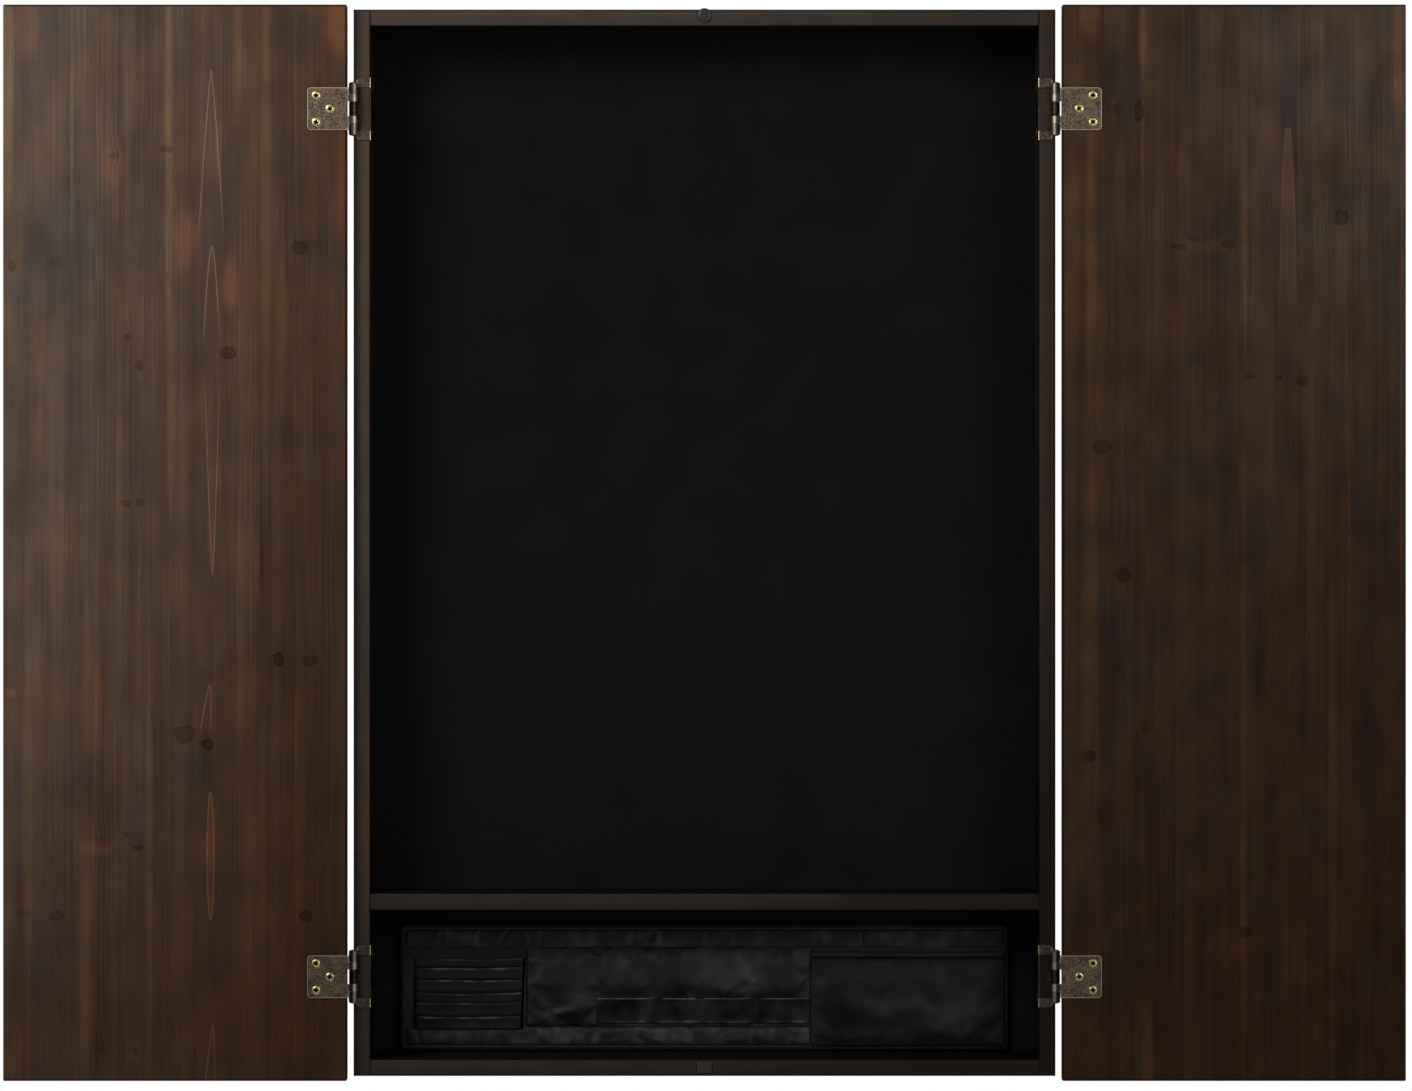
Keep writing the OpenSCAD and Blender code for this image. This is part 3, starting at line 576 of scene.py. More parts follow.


# doors

# places on a door are in mm from its left edge and its foot; a spot is (x, z, half width, half
# height, share) and a flame is (x, z of its tip, reach, half width, power, closed, lean, glow);
# the stain, with painted shade mixed in where the light falls off, darkest towards the foot, is
# (shade, warmth) at each mark along, as a share of the length, first by the near edge and then by
# the far one, at the two places across in mm

leftDoor = dict(
    grain="z", spacing=2.4, lineShare=0.5, warmShare=0.6, coolShare=0.35, edgeReach=2.2, edgeShare=0.9,
    bareEdges="-x", mottle=0.17, hueSwing=0.1, gloss=0.06, flameShare=0.55,
    dark=tone(60, 45, 35), light=tone(86, 66, 52), line=tone(122, 90, 62), warm=tone(92, 63, 44),
    cool=tone(56, 50, 48), edge=tone(12, 9, 7), glow=tone(112, 72, 50), flameLine=tone(146, 104, 76),
    strip=tone(112, 86, 58), blushAndPaintedShade=tone(118, 76, 50), knot=(0.33, 0.24, 0.19), halo=(1.03, 0.92, 0.83),
    stainAndPaintedShadeAlong=(0.065, 0.49, 0.93), stainAndPaintedShadeAcross=(40, 240),
    stainAndPaintedShade=[[(0.4, 0.1), (1, -0.1), (1.2, -0.15)], [(0.25, 0.4), (0.5, 0.15), (0.75, 0.1)]],
    staves=[(0, -40, 9.0, 1.3, 1.04), (73.6, 104, 7.0, 4.7, 0.97),
            (133.6, 60, 9.5, 7.9, 1.0), (204.8, 300, 12.0, 2.2, 0.86)],
    flames=[(166.5, 809, -154.5, 11.5, 0.85, 0, 0, 0.12), (167, 668, -92, 7.6, 0.62, 0, 0, 0.1),
        (167.5, 404, 178.5, 6.4, 0.75, 0, 0, 0.35), (165.5, 317, -46.5, 4.5, 0.55, 0, -4.5, 0.3),
        (166, 231, -102.5, 5.4, 0.5, 1, 0, 0.4), (168, 45, -77, 5.0, 0.6, 0, -4.0, 0.2)],
    blushAndPaintedShadeSpots=[(145.5, 672, 9, 24, 0.32), (181.5, 638.5, 6, 22, 0.5), (267.5, 845, 12, 22, 0.5),
        (69.5, 304, 8, 40, 0.42), (5.5, 310.5, 5, 4, 0.45), (75, 187, 13, 6, 0.4),
        (213.5, 129.5, 12, 10, 0.18), (247, 700, 7, 26, 0.25), (209.5, 728, 4, 40, 0.2),
        (271, 724, 3.4, 55, 0.35), (16.5, 840, 12, 24, 0.2), (87, 732, 10, 16, 0.18)],
    stripSpots=[(132.5, 744, 3.2, 200, 0.5), (210, 712, 4.5, 190, 0.5), (187.5, 832, 3, 60, 0.35),
        (271.5, 848, 9, 30, 0.5), (3.5, 816, 5, 120, 0.5), (55, 760, 1.6, 90, 0.3),
        (223.5, 608, 4, 60, 0.35), (134, 544, 3, 90, 0.35), (261.5, 857.5, 26, 6, 0.25),
        (93.5, 448, 3, 160, 0.25), (45.5, 384, 4, 200, 0.1), (189.5, 368, 3, 120, 0.3),
        (19.5, 224, 4, 160, 0.3), (117.5, 176, 3, 160, 0.35), (207, 160, 3, 140, 0.35),
        (66, 96, 5, 100, 0.3), (237.5, 240, 5, 120, 0.3)],
    knots=[(179.5, 582.5, 5, 4.5, 0.8), (146, 277.5, 7.5, 6, 0.59), (163.5, 269.5, 3.6, 4, 1.01),
        (99.5, 595, 2.4, 2.8, 0.6), (108.5, 572, 2.8, 3.2, 0.65), (98, 462.5, 3, 2.4, 0.65),
        (109.5, 462.5, 2.8, 2.4, 0.55), (237.5, 666.5, 5.5, 4.5, 0.65), (130, 745.5, 5, 2, 0.6),
        (89.5, 740, 5, 1.8, 0.42), (42, 655, 3.6, 4.5, 0.36), (7, 652, 2.6, 3.6, 0.49),
        (220.5, 337.5, 3.6, 4.5, 1.12), (246, 336, 5.5, 4, 0.8), (78, 192, 3.6, 2.8, 0.39),
        (99, 197, 1.5, 1.6, 0.65), (108.5, 186.5, 3, 2, 0.96), (17.5, 133, 5.5, 2.8, 0.45),
        (43, 132, 5.5, 3.6, 0.59), (242, 132, 4.5, 4, 0.96), (80.5, 25, 3.6, 2.6, 0.39),
        (105.5, 25, 2, 1.8, 0.52)],
    patches=[(235.5, 833.5, 17, 24, 0.45), (45.5, 664, 26, 50, 0.5), (15, 632, 14, 13, 0.4),
        (169.5, 692, 12, 30, 0.4), (153.5, 252, 14, 16, 0.6), (33.5, 104, 26, 34, 0.4)])

rightDoor = dict(
    leftDoor, lineShare=0.45, bareEdges="+x", mottle=0.24, hueSwing=0.11, gloss=0.04, flameShare=0.32,
    dark=tone(41, 30, 22), light=tone(64, 50, 38), line=tone(88, 64, 46), warm=tone(64, 44, 31),
    cool=tone(40, 36, 37), edge=tone(9, 7, 5), glow=tone(88, 62, 46), flameLine=tone(100, 74, 54),
    strip=tone(84, 62, 42), blushAndPaintedShade=tone(84, 58, 42),
    stainAndPaintedShade=[[(0.35, 0.3), (0.6, 0.1), (0.9, 0.15)], [(0.3, 0.35), (0.45, 0.25), (1.45, -0.1)]],
    staves=[(0, 38, 8.0, 11.3, 1.0), (66, -30, 9.0, 14.9, 0.97),
            (141, 70, 9.0, 17.1, 1.04), (210, 320, 14.0, 19.6, 0.98)],
    flames=[(180.5, 763, -180.5, 7.2, 0.34, 0, 0, 0.42)],
    blushAndPaintedShadeSpots=[(103.5, 604, 14, 20, 0.2), (115.5, 668, 22, 7, 0.2), (23.5, 848, 8, 14, 0.2)],
    stripSpots=[(7.5, 648, 6, 90, 0.4), (22.5, 656, 4.5, 130, 0.5), (64.5, 836, 3, 30, 0.6),
        (46, 712, 5, 40, 0.3), (268.5, 816, 4, 60, 0.5), (22, 852, 8, 20, 0.4), (146, 664, 2, 80, 0.3),
        (223.5, 656, 6, 40, 0.3), (23.5, 416, 4, 120, 0.35), (95.5, 352, 5, 200, 0.2),
        (271.5, 528, 2, 200, 0.3), (199.5, 416, 4, 160, 0.25), (145, 224, 2.6, 250, 0.45),
        (216.5, 184, 3.6, 190, 0.4), (68.5, 16, 5, 50, 0.6), (19.5, 352, 4, 120, 0.4)],
    knots=[(42, 777.5, 4.6, 3.8, 0.26), (61, 776, 3.2, 8, 0.78), (92.5, 667, 5.5, 2, 0.7),
        (132.5, 669.5, 4.5, 2.8, 0.65), (111.5, 673, 9, 1.4, 0.45), (223.5, 690.5, 5, 5.5, 0.74),
        (149, 564, 4.5, 1.8, 0.55), (174, 561.5, 2.2, 2, 0.93), (191.5, 560, 4.2, 3.2, 0.7),
        (32.5, 506.5, 6.5, 5.5, 0.59), (48.5, 405, 5, 5.5, 0.8), (22, 260, 4.2, 4.2, 0.85),
        (64.5, 283, 1.8, 4.5, 0.78), (146.5, 119, 4.6, 3.8, 0.8)],
    patches=[(46.5, 797, 15, 34, 0.78), (179.5, 789, 11, 36, 0.55), (101, 485, 26, 18, 0.6),
        (240.5, 458.5, 11, 28, 0.6), (45, 356, 12, 28, 0.6), (48.5, 167, 11, 30, 0.75),
        (242, 260, 9, 60, 0.6), (223.5, 700, 12, 18, 0.5)])


def buildDoors():
    for side, board in (("left", leftDoor), ("right", rightDoor)):
        node = side + "_door_panel"
        material = pineMaterial(side + "DoorPine", dict(board, box=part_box(node)))
        slab = partCopy(node, side + "DoorSlab", material)
        finishPiece(slab, side + "_door", "door_wood", node)


buildDoors()
print("doors stained")


# case boards and back panel

caseStain = dict(
    spacing=2.6, lineShare=0.35, warmShare=0.4, coolShare=0.5, edgeReach=2.2, edgeShare=0.8, mottle=0.14,
    hueSwing=0.06, gloss=0.08, dark=tone(42, 36, 31), light=tone(56, 48, 42), line=tone(72, 60, 50),
    warm=tone(58, 42, 31), cool=tone(40, 37, 36), edge=tone(16, 13, 11))
upright = dict(caseStain, grain="z", paintedInsideShade=0.24, stainAndPaintedShadeAlong=(0.045, 0.25, 0.49, 0.74))
level = dict(caseStain, grain="x", paintedInsideShade=0.24, stainAndPaintedShadeAlong=(0.15, 0.6, 0.87))

# sideFade is (from, to, shade there, shade here) in mm across the board
caseBoards = {
    "left_side": dict(
        upright, bareEdges="+x", sideFade=(0, 10, 0.21, 1.32), staves=[(0, -30, 9.0, 3.1, 1.0)],
        stainAndPaintedShade=[[(0.35, 0), (0.7, 0.2), (0.85, -0.05), (1.1, 0.1)]],
        # the dark spots here are painted shade on the stile beside the two hinges
        blushAndPaintedShade=tone(18, 13, 9), blushAndPaintedShadeSpots=((7, 774, 9, 17, 0.5), (7, 80, 9, 17, 0.25))),
    "right_side": dict(
        upright, bareEdges="-x", paintedInsideShade=0.36, sideFade=(0, 13, 1.25, 0.78),
        staves=[(0, 44, 9.0, 5.3, 0.86)],
        stainAndPaintedShade=[[(0.12, 0.6), (0.14, 0.6), (0.5, 0.25), (0.75, 0.15)]]),
    "top_board": dict(
        level, bareEdges="-z", sideFade=(0, 13, 0.9, 1.15), staves=[(0, 30, 11.0, 8.4, 1.25)],
        stainAndPaintedShade=[[(1, 0), (0.85, 0), (0.65, -0.05)]]),
    "bottom_board": dict(
        level, bareEdges="+z", sideFade=(0, 13, 0.88, 1.2), staves=[(0, -20, 11.0, 12.7, 0.78)],
        stainAndPaintedShade=[[(0.6, 0), (0.4, 0.05), (0.2, 0.35)]]),
    "shelf": dict(
        level, bareEdges="-z+z", sideFade=(0, 13, 0.92, 1.2), staves=[(0, 26, 10.0, 16.2, 0.8)],
        stainAndPaintedShadeAlong=(0.15, 0.53, 0.87), stainAndPaintedShade=[[(0.6, -0.05), (0.55, 0), (0.2, 0.5)]]),
    "hanging_rail": dict(caseStain, grain="x", staves=[(0, 20, 6.0, 21.2, 1.2)]),
    "lower_rail": dict(caseStain, grain="x", staves=[(0, 50, 6.0, 25.8, 1.2)]),
}


def buildCase():
    for node, board in caseBoards.items():
        first, *others = node.split("_")
        name = first + "".join(word.capitalize() for word in others) + "Pine"
        material = pineMaterial(name, dict(board, box=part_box(node)))
        finishPiece(partCopy(node, name, material), "cabinet", "case_wood", node)


panel = dict(paintDepth=1.2, paintDark=tone(7, 7, 8), paintLight=tone(11, 11, 11),
             fibreDark=tone(96, 72, 50), fibreLight=tone(134, 106, 78))


def panelMaterial(name, frontY):
    # fibreboard: black paint on the front, bare pressed fibre on the back and edges
    material, net, shader, place = newMaterial(name)
    paintEnds = frontY + panel["paintDepth"] * mm
    painted = net.between(net.split(place)[1], paintEnds, paintEnds + 0.2 * mm, 1.0, 0.0)
    fine, mottle = net.noise(place, 2600, 2), net.noise(place, 22, 3)
    pressed = net.noise(net.vector("MULTIPLY", place, (260, 260, 1200)), 1.0, 3)
    paint = net.blend(net.between(mottle, 0.3, 0.7), panel["paintDark"], panel["paintLight"])
    fibre = net.blend(net.between(pressed, 0.3, 0.7), panel["fibreDark"], panel["fibreLight"])
    rough = net.between(fine, 0.3, 0.7, 0.6, 0.75)
    coat(net, shader, net.blend(painted, fibre, paint), rough, 0.06, net.bump(fine, 0.02 * mm, 0.5))
    return material


def plainWood(name, light, dark):
    # small hidden parts of beech
    material, net, shader, place = newMaterial(name)
    long = net.noise(net.vector("MULTIPLY", place, (220, 900, 900)), 1.0, 3)
    colour = net.blend(net.between(long, 0.3, 0.7), dark, light)
    coat(net, shader, colour, 0.6, bump=net.bump(long, 0.05 * mm))
    return material


buildCase()
dress("back_panel", panelMaterial("paintedFibreboard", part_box("back_panel")[0].y))
beech = plainWood("beech", tone(202, 172, 132), tone(172, 138, 98))
for node in ("case_dowels", "shelf_dowels", "rail_dowels"):
    dress(node, beech)
print("case boards and panel done")


# metals

def makeAgeGroup():
    # patina on plated metal: where it is rubbed bright, and its fine unevenness
    names = {"Place": (0.0, 0.0, 0.0), "Size": 0.001, "Wear": 0.0}
    net, use, give = shaderGroup("agedPlating", names, ("Rubbed", "Grain"))
    larger = net.scaled(use["Place"], net.over(1.0, use["Size"]))
    spots, broad = net.noise(larger, 1.0, 3, 0.65), net.noise(larger, 0.12, 2)
    mixed = net.line(broad, 0.3, net.times(spots, 1.1))
    wearAndSheen = net.soft(mixed, 0.58, 0.84)
    net.feed(give["Rubbed"], net.most(wearAndSheen, use["Wear"]))
    net.feed(give["Grain"], net.noise(larger, 2.6, 2))
    return net.tree


# where the four door leaves' plates lie, worked out from the right-hand pair, and their outline
upperLow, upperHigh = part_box("right_upper_door_leaf")
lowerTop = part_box("right_lower_door_leaf")[1].z
plate = dict(halfX=16.6 * mm, halfZ=(upperHigh.z - upperLow.z) / 2, corner=3 * mm, rim=0.4 * mm,
             middleZ=(upperLow.z + lowerTop) / 2)
plate["centreX"] = upperHigh.x - plate["halfX"]
plate["stepZ"] = upperHigh.z - plate["halfZ"] - plate["middleZ"]


def makePlateGroup():
    # the outline of a hinge plate on the four places it lies: 1 on its rim, 0 inside
    net, use, give = shaderGroup("plateRim", {"Place": (0.0, 0.0, 0.0)}, ("Rim",))
    x, y, z = net.split(use["Place"])
    height = net.size(net.minus(net.size(net.minus(z, plate["middleZ"])), plate["stepZ"]))
    side = net.size(net.minus(net.size(x), plate["centreX"]))
    qx = net.most(net.plus(net.minus(side, plate["halfX"]), plate["corner"]), 0.0)
    qz = net.most(net.plus(net.minus(height, plate["halfZ"]), plate["corner"]), 0.0)
    far = net.root(net.plus(net.times(qx, qx), net.times(qz, qz)))
    inner = net.minus(plate["corner"], far)
    net.feed(give["Rim"], net.soft(inner, plate["rim"], plate["rim"] * 1.7, 1.0, 0.0))
    return net.tree


ageGroup = makeAgeGroup()
plateGroup = makePlateGroup()
pinLow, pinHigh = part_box("right_upper_pin")
barrelFacts = dict(axis=(pinLow.x + pinHigh.x) / 2, radius=3.5 * mm, doorSideShade=0.08)


def barrelPaintedLight(net, colour, dim, out, grain, barrel):
    # a painted highlight band, speckled, on the barrel's half by the case, and painted shade on its half by
    # the door
    axis, radius, share = barrelFacts["axis"], barrelFacts["radius"], barrel[3]
    starts = net.between(out, axis - radius - 0.3 * mm, axis - radius)
    ends = net.between(out, axis + radius + 0.1 * mm, axis + radius + 0.2 * mm, 1.0, 0.0)
    speckled = net.times(net.times(starts, ends), net.between(grain, 0.35, 0.6, share * 0.5, share))
    turned = net.soft(out, axis - 0.5 * mm, axis + 0.5 * mm)
    before = net.between(out, axis + radius + 0.05 * mm, axis + radius + 0.2 * mm, 1.0, 0.0)
    shade = net.between(net.times(turned, before), 0.0, 1.0, 1.0, barrelFacts["doorSideShade"])
    return net.blend(speckled, colour, tone(*barrel[:3])), net.times(dim, shade)


def wrappedEdge(net, colour, out, y, bright):
    # painted shade where the leaf turns into the case, with one painted highlight line at the turn
    face, front = caseInner["halfWidth"], caseInner["front"]
    inner = net.between(out, face - 0.9 * mm, face - 0.5 * mm, 1.0, 0.0)
    colour = net.blend(inner, colour, tone(20, 18, 16))
    begins = net.between(out, face - 0.9 * mm, face - 0.65 * mm)
    ends = net.between(out, face - 0.4 * mm, face - 0.05 * mm, 1.0, 0.0)
    ahead = net.between(y, front - 0.5 * mm, front - 1.0 * mm)
    return net.blend(net.times(net.times(begins, ends), ahead), colour, bright)


def metalMaterial(name, patina, bright, size=1.2, rough=(0.5, 0.32), tinge=None, pit=None, foot=1.0,
                  rim=None, barrel=None, wrap=None):
    # patina rubbed bright in places; foot is the painted shade at the cabinet's foot, how dim the metal is
    # made there
    material, net, shader, place = newMaterial(name)
    aged = net.group(ageGroup, Place=place, Size=size * mm, Wear=net.times(net.named("wear"), 0.8))
    colour = patina
    if tinge:  # oxide of two casts, in small flecks
        flecks = net.noise(net.vector("ADD", place, (0.7, 0.2, 0.4)), 620, 2)
        colour = net.blend(net.soft(flecks, 0.4, 0.6), patina, tinge)
    colour = net.blend(aged["Rubbed"], colour, bright)
    # painted shade in the screws' crosses and round their heads
    if pit:
        colour = net.blend(net.named("recess"), colour, pit)
    px, py, pz = net.split(place)
    out = net.size(px)
    # painted shade, darker towards the cabinet's foot
    dim = net.between(pz, -0.7, -0.1, foot, 1.0)
    if rim:  # the plate's outline, a pale painted highlight
        colour = net.blend(net.times(net.group(plateGroup, Place=place)["Rim"], 0.65), colour, rim)
    if barrel:
        colour, dim = barrelPaintedLight(net, colour, dim, out, aged["Grain"], barrel)
    if wrap:
        colour = wrappedEdge(net, colour, out, py, wrap)
    worn = net.line(aged["Grain"], 0.4, aged["Rubbed"])
    relief = net.bump(aged["Grain"], 0.03 * mm, 0.7)
    coat(net, shader, net.scaled(colour, dim), net.between(worn, 0.1, 1.2, *rough), bump=relief)
    shader.inputs["Metallic"].default_value = 1.0
    return material


barrelHighlight = (160, 146, 130, 0.6)  # the tone of the painted highlight on a barrel, and how much of it shows
leafMetal = metalMaterial("antiqueBrassPlate", tone(44, 38, 30), tone(146, 128, 104), size=0.9, foot=0.72,
                          tinge=tone(70, 54, 50), rim=tone(206, 190, 160), barrel=barrelHighlight)
frameMetal = metalMaterial("antiqueBrassWrap", tone(34, 30, 27), tone(112, 102, 86), size=0.9, foot=0.72,
                           tinge=tone(50, 42, 38), barrel=barrelHighlight, wrap=tone(186, 174, 154))
pinMetal = metalMaterial("antiqueBrassBarrel", tone(96, 86, 70), tone(196, 182, 156), size=1.4,
                         rough=(0.42, 0.28), foot=0.72, barrel=(160, 146, 130, 0.5))
sleeveMetal = metalMaterial("darkSpringSteel", tone(32, 27, 25), tone(84, 74, 66), rough=(0.45, 0.3),
                            foot=0.72, barrel=(50, 44, 40, 0.5))
screwMetal = metalMaterial("yellowBrass", tone(160, 142, 88), tone(226, 208, 148), size=1.5,
                           rough=(0.42, 0.3), foot=0.62, pit=tone(30, 22, 12))
zincMetal = metalMaterial("zincPlate", tone(150, 152, 156), tone(206, 208, 212), size=3.0, rough=(0.42, 0.3))

hinges = dict(leafEdge=0.42, pinEdge=0.3, sleeveEdge=0.12, sharpFrom=50)


def buildHinges():
    for side in ("left", "right"):
        parts = (("frame_leaf", "FrameLeaf", frameMetal, "leafEdge", "cabinet", "antique_brass"),
                 ("door_leaf", "DoorLeaf", leafMetal, "leafEdge", side + "_door", "antique_brass"),
                 ("pin", "Pin", pinMetal, "pinEdge", "cabinet", "antique_brass"),
                 ("closing_spring", "ClosingSpring", sleeveMetal, "sleeveEdge", "cabinet", "spring_steel"))
        for height in ("upper", "lower"):
            for part, tail, material, edge, body, slotName in parts:
                node, name = side + "_" + height + "_" + part, side + height.capitalize() + tail
                piece = partCopy(node, name, material, hinges[edge], hinges["sharpFrom"])
                finishPiece(piece, body, slotName, node)


buildHinges()
for node in ("left_keyhole_plate", "right_keyhole_plate", "keyhole_screws"):
    dress(node, zincMetal)
print("hinges done")


# screws, as geometry nodes

def geometryTree(name, inputs):
    # inputs is {name: default}; the kind of socket follows the default
    tree = bpy.data.node_groups.new(name, "GeometryNodeTree")
    kinds = {float: "NodeSocketFloat", int: "NodeSocketInt", tuple: "NodeSocketVector",
             type(None): "NodeSocketMaterial"}
    tree.interface.new_socket(name="Geometry", in_out="INPUT", socket_type="NodeSocketGeometry")
    for label, default in inputs.items():
        kind = kinds[type(default)]
        socket = tree.interface.new_socket(name=label, in_out="INPUT", socket_type=kind)
        if default is not None:
            socket.default_value = default
    tree.interface.new_socket(name="Geometry", in_out="OUTPUT", socket_type="NodeSocketGeometry")
    net = Net(tree)
    return net, net.add("NodeGroupInput").outputs, net.add("NodeGroupOutput").inputs


def closeTree(net, instances, material, give):
    # turns the instances into a smooth mesh of one material
    plain = net.first("GeometryNodeRealizeInstances", {0: instances})
    smooth = net.first("GeometryNodeSetShadeSmooth", {0: plain})
    done = net.first("GeometryNodeSetMaterial", {"Geometry": smooth, "Material": material})
    net.feed(give[0], done)
    return net.tree


def runTree(thing, tree, values):
    # sets the named inputs, evaluates once and keeps the result as a plain mesh
    modifier = thing.modifiers.new("nodes", "NODES")
    modifier.node_group = tree
    for item in tree.interface.items_tree:
        if item.item_type == "SOCKET" and item.in_out == "INPUT" and item.name in values:
            modifier[item.identifier] = values[item.name]
    return applyModifiers(thing)


screws = dict(headRadius=3.6, dome=0.7, slotHalf=0.52, slotReach=2.3, slotDepth=1.0, shankRadius=1.6,
              neck=1.6, skirt=0.5, turnPitch=1.1)


def makeScrewTree():
    # one cross-head screw at each input point, head towards Facing, each turned at random
    names = {"HeadRadius": 3.6 * mm, "Dome": 0.7 * mm, "SlotHalf": 0.45 * mm, "SlotReach": 1.9 * mm,
             "SlotDepth": 0.8 * mm, "ShankRadius": 1.5 * mm, "ShankLength": 8 * mm,
             "Facing": (0.0, 0.0, 0.0), "Seed": 1, "Metal": None}
    net, use, give = geometryTree("screwSet", names)
    place = net.split(net.first("GeometryNodeInputPosition"))
    counts = {"Size X": 1.0, "Size Y": 1.0, "Vertices X": 23, "Vertices Y": 65}
    grid = net.first("GeometryNodeMeshGrid", counts)
    share = net.plus(place[0], 0.5)
    angle = net.times(place[1], 2 * math.pi)
    # the last ring stands as far out as the one before it, and makes the skirt
    radius = net.times(net.least(net.times(share, 1.0476), 1.0), use["HeadRadius"])
    x = net.times(radius, net.math("COSINE", angle))
    y = net.times(radius, net.sine(angle))
    part = net.over(radius, use["HeadRadius"])
    dome = net.times(use["Dome"], net.minus(1.0, net.power(part, 2.4)))

    def arm(along, over):
        # 1 inside one arm of the cross, with sloping walls
        wide = net.between(net.size(over), use["SlotHalf"], net.times(use["SlotHalf"], 1.5), 1.0, 0.0)
        slope = net.times(use["SlotReach"], 0.45)
        return net.times(wide, net.between(net.size(along), slope, use["SlotReach"], 1.0, 0.0))
    cross = net.most(arm(x, y), arm(y, x))
    height = net.minus(dome, net.times(cross, use["SlotDepth"]))
    skirt = net.times(net.above(share, 0.97), screws["skirt"] * mm)
    position = net.join(x, y, net.minus(height, skirt))
    # painted shade in the cross and a painted shadow ring round the head
    recess = net.most(net.between(cross, 0.1, 0.35), net.between(part, 0.87, 0.95))
    facts = {"Geometry": grid, "Name": "recess", "Value": recess}
    marked = net.first("GeometryNodeStoreNamedAttribute", facts, data_type="FLOAT", domain="POINT")
    shaped = net.first("GeometryNodeSetPosition", {"Geometry": marked, "Position": position})
    head = net.first("GeometryNodeMergeByDistance", {"Geometry": shaped, "Distance": 0.004 * mm})
    neck, shank = screws["neck"] * mm, use["ShankRadius"]
    cone = net.first("GeometryNodeMeshCone", {"Vertices": 24, "Radius Top": use["HeadRadius"],
                                              "Radius Bottom": shank, "Depth": neck})
    below = net.join(0.0, 0.0, -2.0 * mm)
    cone = net.first("GeometryNodeTransform", {"Geometry": cone, "Translation": below})
    point = net.first("GeometryNodeMeshCone", {"Vertices": 16, "Side Segments": 14, "Radius Top": shank,
                                               "Radius Bottom": net.times(shank, 0.2),
                                               "Depth": use["ShankLength"]})
    x, y, z = net.split(net.first("GeometryNodeInputPosition"))
    wave = net.line(net.sine(net.times(z, 2 * math.pi / (screws["turnPitch"] * mm))), 0.09, 0.91)
    ridged = net.join(net.times(x, wave), net.times(y, wave), z)
    point = net.first("GeometryNodeSetPosition", {"Geometry": point, "Position": ridged})
    lower = net.join(0.0, 0.0, net.minus(-neck, use["ShankLength"]))
    point = net.first("GeometryNodeTransform", {"Geometry": point, "Translation": lower})
    screw = net.add("GeometryNodeJoinGeometry")
    for part in (head, cone, point):
        net.feed(screw.inputs[0], part)
    places = net.first("GeometryNodeMeshToPoints", {"Mesh": use["Geometry"]})
    turn = net.chance(0.0, math.pi / 2, use["Seed"])
    facts = {"Points": places, "Instance": screw.outputs[0], "Rotation": use["Facing"]}
    heads = net.first("GeometryNodeInstanceOnPoints", facts)
    facts = {"Instances": heads, "Rotation": net.join(0.0, 0.0, turn), "Local Space": True}
    turned = net.first("GeometryNodeRotateInstances", facts)
    return closeTree(net, turned, use["Metal"], give)


def solidBoxes(node):
    # the box of each separate solid in a CAD node
    body = mergedMesh(cadNodes[node].data)
    left, boxes = set(body.verts), []
    while left:
        front = [left.pop()]
        found = list(front)
        while front:
            for edge in front.pop().link_edges:
                for vert in edge.verts:
                    if vert in left:
                        left.discard(vert)
                        front.append(vert)
                        found.append(vert)
        places = np.array([cadNodes[node].matrix_world @ v.co for v in found])
        boxes.append((places.min(0), places.max(0)))
    body.free()
    return sorted(boxes, key=lambda pair: tuple(np.round(pair[0], 4)))


def buildScrews():
    tree = makeScrewTree()
    quarter = math.pi / 2
    # each set's body, the way its heads face, the axis it is driven along, the head's side and a seed
    sets = {"left_door_screws": ("left_door", (quarter, 0.0, 0.0), 1, 0, 3),
            "right_door_screws": ("right_door", (quarter, 0.0, 0.0), 1, 0, 8),
            "left_frame_screws": ("cabinet", (0.0, quarter, 0.0), 0, 1, 5),
            "right_frame_screws": ("cabinet", (0.0, -quarter, 0.0), 0, 0, 6)}
    sizes = dict(HeadRadius=screws["headRadius"] * mm, Dome=screws["dome"] * mm,
                 SlotHalf=screws["slotHalf"] * mm, SlotReach=screws["slotReach"] * mm,
                 SlotDepth=screws["slotDepth"] * mm, ShankRadius=screws["shankRadius"] * mm)
    for node, (body, facing, axis, side, seed) in sets.items():
        heads = []
        for low, high in solidBoxes(node):
            centre = (low + high) / 2
            outer, inner = (low, high)[side][axis], (high, low)[side][axis]
            length = abs(inner - outer)
            centre[axis] = outer + (inner - outer) / length * screws["dome"] * mm
            heads.append(centre)
        length -= (screws["neck"] + screws["dome"] + 0.1) * mm
        first, second = node.split("_")[:2]
        piece = meshObject(first + second.capitalize() + "Screws", heads, [], screwMetal)
        runTree(piece, tree, dict(sizes, ShankLength=length, Facing=facing, Seed=seed, Metal=screwMetal))
        piece.data.set_sharp_from_angle(angle=math.radians(40))
        finishPiece(piece, body, "brass", node)


buildScrews()
print("screws done")


# bumpers

def latheSurface(profile, steps):
    # profile is (radius, height) from the middle outwards; the first point is the pole
    points = [(0, 0, profile[0][1])]
    turns = [2 * math.pi * k / steps for k in range(steps)]
    for radius, height in profile[1:]:
        points += [(radius * math.cos(a), radius * math.sin(a), height) for a in turns]
    faces = [(0, 1 + k, 1 + (k + 1) % steps) for k in range(steps)]
    for ring in range(len(profile) - 2):
        a, b = 1 + ring * steps, 1 + (ring + 1) * steps
        faces += [(a + k, b + k, b + (k + 1) % steps, a + (k + 1) % steps) for k in range(steps)]
    faces.append([1 + (len(profile) - 2) * steps + k for k in reversed(range(steps))])
    return points, faces


def facingFront(points, low, high):
    # (x, y, height) on the bench to a piece that stands on its box's rear face and faces -Y
    centre = (low + high) / 2
    return [(centre.x + x, high.y - h, centre.z + y) for x, y, h in points]


def fixNormals(thing):
    body = mergedMesh(thing.data, 1e-7)
    bmesh.ops.recalc_face_normals(body, faces=body.faces)
    body.to_mesh(thing.data)
    body.free()


